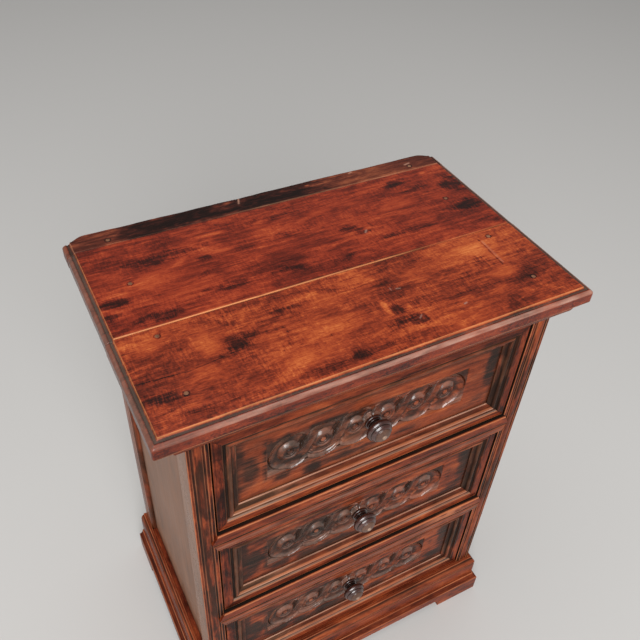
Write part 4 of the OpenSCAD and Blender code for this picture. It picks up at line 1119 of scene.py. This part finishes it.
def turned_knob(drawer, seed):
    """The profile spun round the axis, out of round by one part in a hundred. Dirt stays in the
    ring lines, the flat of the face is dull, and the tip of the spigot is rubbed bare."""
    node = f"{drawer}_drawer_knob"
    board_y = box_mm(f"{drawer}_drawer_front")[0][1]
    reach = board_y - box_mm(node)[0][1]
    line = worn_outline(knob_profile(reach), 0.5, 2, closed=False)[0][1:-1]
    radius, height = np.maximum(line[:, :1], 0), line[:, 1:]
    angle = np.arange(KNOB_SIDES) * 2 * np.pi / KNOB_SIDES
    uneven = noise(np.cos(angle) * 2, np.sin(angle) * 2, seed)
    spun = radius * (1 - 0.012 * (0.5 + 0.5 * uneven))
    turning = np.abs(np.gradient(np.gradient(radius[:, 0])))[:, None]
    face = rise(height + 0.8 * uneven, 28.5, 30.0)
    marks = {"grime": np.clip(turning * 5, 0, 1) * (height < 29.5),
             "worn": 0.7 * (height > reach - 1.3), "dry": face * (radius > 3.5),
             "glow": 0.35 * face, "gloss": 0.75 - 0.6 * face}
    marks = {key: np.broadcast_to(value, spun.shape) for key, value in marks.items()}
    points = points_of(KNOB_X + spun * np.cos(angle), board_y - height,
                       knob_heights[drawer] + spun * np.sin(angle))
    make_piece(node + "_turned", points, tube_faces(*spun.shape), marks, f"{drawer}_drawer",
               node, sharp=60)


for drawer in DRAWERS:
    turned_knob(drawer, 170 + len(drawer))

# %% [markdown]
# ## Shader maths in plain Python
# A material is a sum of many small things: streaks, pores, blotches, wear and dirt. Written as
# nodes such a sum is a web; written as a formula it is a few lines. This class wraps one socket,
# and each operator adds the Math node that works it out.

# %% A socket that can be added and multiplied
class Wire:
    """One output socket of a node tree, used like a number."""

    def __init__(self, tree, socket=None):
        self.tree, self.socket = tree, socket

    def node(self, kind, inputs=None, out=0, stops=None, **settings):
        """Adds a node: its settings and ramp stops first, then the values or wires it takes."""
        made = self.tree.nodes.new("ShaderNode" + kind)
        for key, value in settings.items():
            setattr(made, key, value)
        if stops:
            elements = made.color_ramp.elements
            while len(elements) < len(stops):
                elements.new(1.0)
            for element, (place, colour) in zip(elements, stops):
                element.position = place
                element.color = (*colour, 1.0)
        for key, value in (inputs or {}).items():
            if isinstance(value, Wire):
                self.tree.links.new(value.socket, made.inputs[key])
            else:
                made.inputs[key].default_value = value
        return Wire(self.tree, made.outputs[out])

    def maths(self, operation, *values, clamp=False):
        """Adds a Math node. Its result is kept between 0 and 1 if clamp is true."""
        return self.node("Math", dict(enumerate(values)), operation=operation, use_clamp=clamp)

    def __add__(self, other): return self.maths("ADD", self, other)
    def __radd__(self, other): return self.maths("ADD", other, self)
    def __sub__(self, other): return self.maths("SUBTRACT", self, other)
    def __rsub__(self, other): return self.maths("SUBTRACT", other, self)
    def __mul__(self, other): return self.maths("MULTIPLY", self, other)
    def __rmul__(self, other): return self.maths("MULTIPLY", other, self)

    def clamp(self):
        """The same number, kept between 0 and 1."""
        return self.maths("ADD", self, 0.0, clamp=True)

    def between(self, low, high):
        """0 below low, 1 above high and a smooth rise in between."""
        return self.node("MapRange", {0: self, 1: low, 2: high, 3: 0.0, 4: 1.0},
                         interpolation_type="SMOOTHSTEP")

    def blend(self, first, second):
        """The first colour where this wire is 0 and the second where it is 1."""
        return self.node("Mix", {0: self, 6: first, 7: second}, out=2, data_type="RGBA")


def colour(r, g, b):
    """The four numbers of an opaque colour."""
    return (r, g, b, 1.0)


# %% [markdown]
# ## Polished walnut
# The wood varies most across the grain, so every noise is drawn out along it: wide flames, narrow
# streaks and hair-fine pores. Across the grain run faint chatter marks from the plane. The sum is
# one tone from near black to orange, which a ramp turns into colour. Wear lightens the arrises,
# dirt dulls the hollows, painted highlights lighten the edges that would catch the light, and
# painted shade darkens the gaps; all come from the marks on the mesh.

# %% The parts that every wood shares
def drawn_out(wire, place, grain, along, across, detail, rough=0.55, warp=0.0):
    """Noise with `along` waves a metre in the direction of the grain and `across` elsewhere."""
    scale = [along if axis == grain else across for axis in "XYZ"]
    stretched = wire.node("VectorMath", {0: place, 1: scale}, operation="MULTIPLY")
    return wire.node("TexNoise", {"Vector": stretched, "Scale": 1.0, "Detail": detail,
                                  "Roughness": rough, "Distortion": warp})


def mark(wire, name):
    """One of the marks that make_piece stored on the mesh."""
    return wire.node("Attribute", attribute_name=name, out=2)


def start_material(name):
    """A new material, the wire that adds nodes to it, and its Principled shader."""
    material = bpy.data.materials.new(name)
    material.use_nodes = True
    return material, Wire(material.node_tree), material.node_tree.nodes["Principled BSDF"]


def place_of(wire):
    """Object coordinates, moved apart for each piece so that no two share their grain."""
    at = wire.node("TexCoord", out=3)
    own = mark(wire, "own")
    apart = wire.node("CombineXYZ", {0: own * 3.1, 1: own * 7.7, 2: own * 5.3})
    return wire.node("VectorMath", {0: at, 1: apart}, operation="ADD")


# %% Polished, worn and dirty wood
# each stop of a ramp: its place in hundredths, then red, green and blue in thousandths
STOPS = {
    "top": ((0, 12, 4, 3), (25, 50, 8, 4), (45, 150, 20, 8), (62, 290, 42, 13), (80, 430, 85, 22),
            (100, 600, 170, 45)),
    "red": ((0, 12, 4, 3), (25, 50, 7, 4), (45, 140, 16, 7), (62, 260, 31, 11), (80, 380, 60, 18),
            (100, 560, 140, 40)),
    "strip": ((0, 10, 4, 3), (30, 36, 9, 6), (60, 110, 24, 13), (100, 400, 110, 45)),
    "mould": ((0, 10, 3, 2), (25, 40, 7, 3), (45, 110, 18, 7), (65, 210, 38, 12),
              (82, 330, 70, 20), (100, 480, 130, 40)),
    "front": ((0, 14, 6, 4), (25, 58, 12, 6), (45, 135, 25, 9), (65, 225, 43, 14),
              (82, 310, 70, 21), (100, 430, 120, 40)),
    # panel: grey-brown colours, a painted reflection of the sky on the side of the case; they are
    # also the second colours of the mouldings and the colours of the pegs
    "panel": ((0, 90, 38, 19), (35, 205, 95, 52), (60, 295, 145, 86), (85, 350, 185, 116),
              (100, 400, 230, 155)),
    "edge": ((0, 12, 3, 2), (30, 62, 8, 3), (60, 170, 22, 6), (85, 270, 44, 12),
             (100, 380, 95, 30)),
    "bare": ((0, 120, 70, 40), (40, 270, 170, 100), (70, 400, 275, 170), (100, 520, 390, 260)),
    "olive": ((0, 14, 9, 6), (40, 42, 26, 17), (70, 85, 52, 34), (100, 160, 100, 66)),
    "knob": ((0, 12, 4, 3), (40, 36, 9, 6), (75, 80, 20, 12), (100, 330, 170, 100)),
    "dull": ((0, 30, 14, 9), (50, 75, 36, 24), (100, 240, 130, 88))}
COAT = {"Coat Roughness": 0.24, "Coat IOR": 1.8}


def ramp(w, tone, wood):
    """The colour of a tone from 0 to 1 between the stops of a wood."""
    stops = [(place / 100, tuple(part / 1000 for part in rgb)) for place, *rgb in STOPS[wood]]
    return w.node("ValToRGB", {0: tone.clamp()}, stops=stops)


def walnut(name, grain, wood, worn_colour, dirt_and_shade_colour, dry=None, highlight_and_scratch_colour=(0.48, 0.25, 0.17),
           gloss=0.3, specular=0.15, coat=0.0, tone_shift=0.0, contrast=1.0, glow_gain=0.36,
           dark_gain=0.5, waves=(15, 42), streaky=0.8, chatter=0.0, bump_mm=0.1):
    """A polished wood: tone = mottle + streaks + fibres + marks, coloured by the ramp of `wood`,
    and by a second ramp where the second-colour mark lies: where the polish is gone, and as a
    painted grey reflection on the outer side of the posts. Painted highlights with pale scratches,
    worn points, and dirt with painted shade lie over it in this order. `waves` are the mottle's
    waves a metre along and across the grain."""
    material, w, shader = start_material(name)
    place = place_of(w)
    if grain == "X":
        parts = [w.node("SeparateXYZ", {0: place}, out=k) for k in (2, 1, 0)]
        turned = w.node("CombineXYZ", dict(enumerate(parts)))
        place = w.node("Mix", {0: mark(w, "upright"), 4: place, 5: turned}, out=1,
                       data_type="VECTOR")
    mottle = drawn_out(w, place, grain, *waves, 7, 0.64, 0.7)
    streak = drawn_out(w, place, grain, 8, 170, 5, 0.62, 0.25)
    fibre = drawn_out(w, place, grain, 70, 1000, 3, 0.75)
    blotch = drawn_out(w, place, grain, 7, 11, 3, 0.5, 0.4)
    tone = (0.5 + contrast * ((mottle - 0.5) + streaky * (streak - 0.5) + 0.8 * (blotch - 0.5)
                              + 0.7 * (fibre - 0.5)) + tone_shift)
    ragged = 1.3 * (mottle - 0.5) + 0.5 * (streak - 0.5)
    if chatter:
        across = "Y" if grain == "X" else "X"
        ripple = drawn_out(w, place, across, 70, 300, 4, 0.7, 0.5)
        patch = drawn_out(w, place, grain, 18, 18, 2)
        speck = drawn_out(w, place, grain, 170, 330, 2, 0.6)
        tone = (tone + chatter * (ripple - 0.52) * patch.between(0.3, 0.55)
                + 0.4 * chatter * (speck - 0.5))
        ragged = ragged + 0.9 * (ripple - 0.5)
    glow = (mark(w, "glow") - ragged * 1.2).between(0.1, 1.2)
    dark = (mark(w, "dark") - ragged).between(0.12, 1.0)
    tone = tone + glow_gain * glow - dark_gain * dark

    base = ramp(w, tone, wood)
    if dry:
        base = mark(w, "dry").blend(base, ramp(w, tone, dry))
    # painted highlights, and pale scratches on the top, lighten the colour; the dirt cover below
    # also lays painted shade
    sheen = (mark(w, "pale") * (0.35 + 1.3 * (streak - 0.1))).clamp()
    rub = (mark(w, "worn") * (0.45 + 1.1 * (streak - 0.2))).clamp()
    dirt_and_shade = (mark(w, "grime") * (0.6 + 0.8 * blotch)).clamp()
    for cover, rgb in ((sheen, highlight_and_scratch_colour), (rub, worn_colour), (dirt_and_shade, dirt_and_shade_colour)):
        base = cover.blend(base, colour(*rgb))
    roughness = (gloss + 0.3 * (mottle - 0.5) + 0.15 * mark(w, "grime")
                 + 0.2 * (fibre - 0.5)).clamp()
    height = fibre * 0.5 + streak * 0.6 + mottle * 0.5
    bump = w.node("Bump", {"Strength": 0.5, "Distance": bump_mm * MM, "Height": height})
    plugs = {"Base Color": base, "Roughness": roughness, "Normal": bump}
    shader.inputs["Specular IOR Level"].default_value = specular
    if coat:
        plugs["Coat Weight"] = mark(w, "gloss") * coat
        for key, value in COAT.items():
            shader.inputs[key].default_value = value
    for key, wire in plugs.items():
        material.node_tree.links.new(wire.socket, shader.inputs[key])
    return material


# %% [markdown]
# ## One finish for each group of pieces
# The top is the brightest and most orange. Posts and rails are a deeper red-brown. The carved
# boards are dull and dark in the ground. The side panels are coloured grey, a painted reflection
# of the sky on their faces.

# %% Mix the finishes
# the colour of dirt and of the painted shade in the gaps
DIRT_AND_SHADE = (0.013, 0.008, 0.006)
TOP_WORN, TOP_DIRT = (0.66, 0.26, 0.10), (0.095, 0.068, 0.052)
TOP_LOOK = {"dry": "edge", "highlight_and_scratch_colour": (0.44, 0.26, 0.20), "gloss": 0.24, "specular": 0.24,
            "dark_gain": 0.37}
top_finish = {
    "top_front_board": walnut("polished_top_front", "X", "top", TOP_WORN, TOP_DIRT, chatter=0.8,
                              tone_shift=0.03, waves=(20, 46), streaky=0.6, **TOP_LOOK),
    "top_middle_board": walnut("polished_top_middle", "X", "red", TOP_WORN, TOP_DIRT,
                               chatter=0.55, tone_shift=0.04, waves=(17, 46), streaky=0.7,
                               **TOP_LOOK),
    "top_back_strip": walnut("polished_top_back", "X", "strip", (0.5, 0.22, 0.12),
                             (0.05, 0.03, 0.022), dry="edge", tone_shift=0.06)}
mouldings = {grain: walnut("moulded_walnut_" + grain, grain, "mould", (0.50, 0.17, 0.075), DIRT_AND_SHADE,
                           dry="panel", highlight_and_scratch_colour=(0.42, 0.26, 0.19), specular=0.07,
                           dark_gain=0.45) for grain in "XYZ"}
carved = walnut("carved_front", "X", "front", (0.30, 0.10, 0.05), (0.018, 0.010, 0.007),
                dry="olive", highlight_and_scratch_colour=(0.32, 0.20, 0.15), gloss=0.26, specular=0.08, coat=1.0,
                tone_shift=0.09, dark_gain=0.42)
# the grey panel colours are a painted reflection of the sky on the side panels
panel = walnut("panel_wood", "Z", "panel", (0.4, 0.3, 0.24), (0.05, 0.03, 0.022), gloss=0.45,
               contrast=0.6, dark_gain=0.25)
bare = {grain: walnut("inner_wood_" + grain, grain, "bare", (0.55, 0.42, 0.3), (0.10, 0.06, 0.04),
                      gloss=0.75, contrast=0.7) for grain in "XYZ"}
knob_finish = walnut("knob_wood", "Y", "knob", (0.50, 0.34, 0.24), DIRT_AND_SHADE, dry="dull", specular=0.2,
                     coat=1.0, contrast=0.6)
peg_finish = walnut("peg_wood", "Z", "panel", (0.3, 0.2, 0.15), DIRT_AND_SHADE, gloss=0.4, contrast=0.9,
                    tone_shift=-0.22)
print("finishes mixed:", len(bpy.data.materials))

# %% [markdown]
# ## Give every piece its finish
# The grain follows the length of each piece, so uprights and cross pieces take different versions
# of the same finish. CAD pieces that stay, such as the drawer sides, take a finish too.

# %% Assign the finishes
def finish_for(name):
    """The finish of a piece or node, chosen by its name."""
    for board, finish in top_finish.items():
        if name.startswith(board):
            return finish
    if "peg" in name:
        return peg_finish
    if "knob" in name:
        return knob_finish
    if "drawer_front" in name:
        return carved
    if "side_panel" in name:
        return panel
    if "drawer_frame" in name:
        return mouldings["X"]
    if "post" in name:
        return mouldings["Z"]
    if "runner" in name or ("drawer" in name and "side" in name):
        return bare["Y"]
    if "back_board" in name or "drawer_back" in name or "drawer_bottom" in name or "rear_" in name:
        return bare["X"]
    if name.startswith(("left_", "right_")):
        return mouldings["Y"]
    return mouldings["X"]


dressed = [thing for thing in bpy.context.scene.objects if thing.type == "MESH"]
for thing in dressed:
    thing.data.materials.clear()
    thing.data.materials.append(finish_for(thing.name))
print("finishes given to", len(dressed), "meshes")

# %% [markdown]
# ## Light, floor and backdrop
# The photograph was taken outdoors under a bright overcast sky. Two large soft lamps, one high
# behind the camera and one overhead, and a pale even world give the same soft light. The world is
# dim as a light, and only the camera sees it nearly white.

# %% Lay the floor
FLOOR_HALF, FLOOR_Z = 6, -0.001
floor_finish, _, floor_shader = start_material("floor")
for key, value in (("Base Color", colour(0.56, 0.55, 0.535)), ("Roughness", 0.9),
                   ("Specular IOR Level", 0.1)):
    floor_shader.inputs[key].default_value = value
floor_mesh = bpy.data.meshes.new("floor")
floor_mesh.from_pydata([(x * FLOOR_HALF, y * FLOOR_HALF, FLOOR_Z)
                        for x, y in ((-1, -1), (1, -1), (1, 1), (-1, 1))], [], [(0, 1, 2, 3)])
floor_mesh.materials.append(floor_finish)
floor = bpy.data.objects.new("floor", floor_mesh)
bpy.context.scene.collection.objects.link(floor)
print("floor", 2 * FLOOR_HALF, "m wide")

# %% Light the studio
CAMERA_SKY, LIGHT_SKY = 0.92, 0.27
world = bpy.data.worlds.new("sky")
bpy.context.scene.world = world
world.use_nodes = True
sky = Wire(world.node_tree)
background = world.node_tree.nodes["Background"]
strength = sky.node("LightPath", out=0) * (CAMERA_SKY - LIGHT_SKY) + LIGHT_SKY
world.node_tree.links.new(strength.socket, background.inputs["Strength"])
background.inputs["Color"].default_value = colour(1, 0.99, 0.98)


def soft_lamp(name, at, aim, size, power):
    """A round area lamp, `size` metres wide and turned towards a point."""
    data = bpy.data.lights.new(name, "AREA")
    data.shape, data.size, data.energy = "DISK", size, power
    lamp = bpy.data.objects.new(name, data)
    lamp.location = at
    lamp.rotation_euler = (Vector(aim) - Vector(at)).to_track_quat("-Z", "Y").to_euler()
    bpy.context.scene.collection.objects.link(lamp)
    print(name, power, "W")


soft_lamp("front_lamp", (-1.8, -4.4, 4.2), (0, 0, 0.6), 4.4, 430)
soft_lamp("sky_lamp", (-0.4, 0.6, 6.2), (0, 0, 0.6), 6.0, 110)
bpy.context.scene.view_settings.view_transform = "Standard"
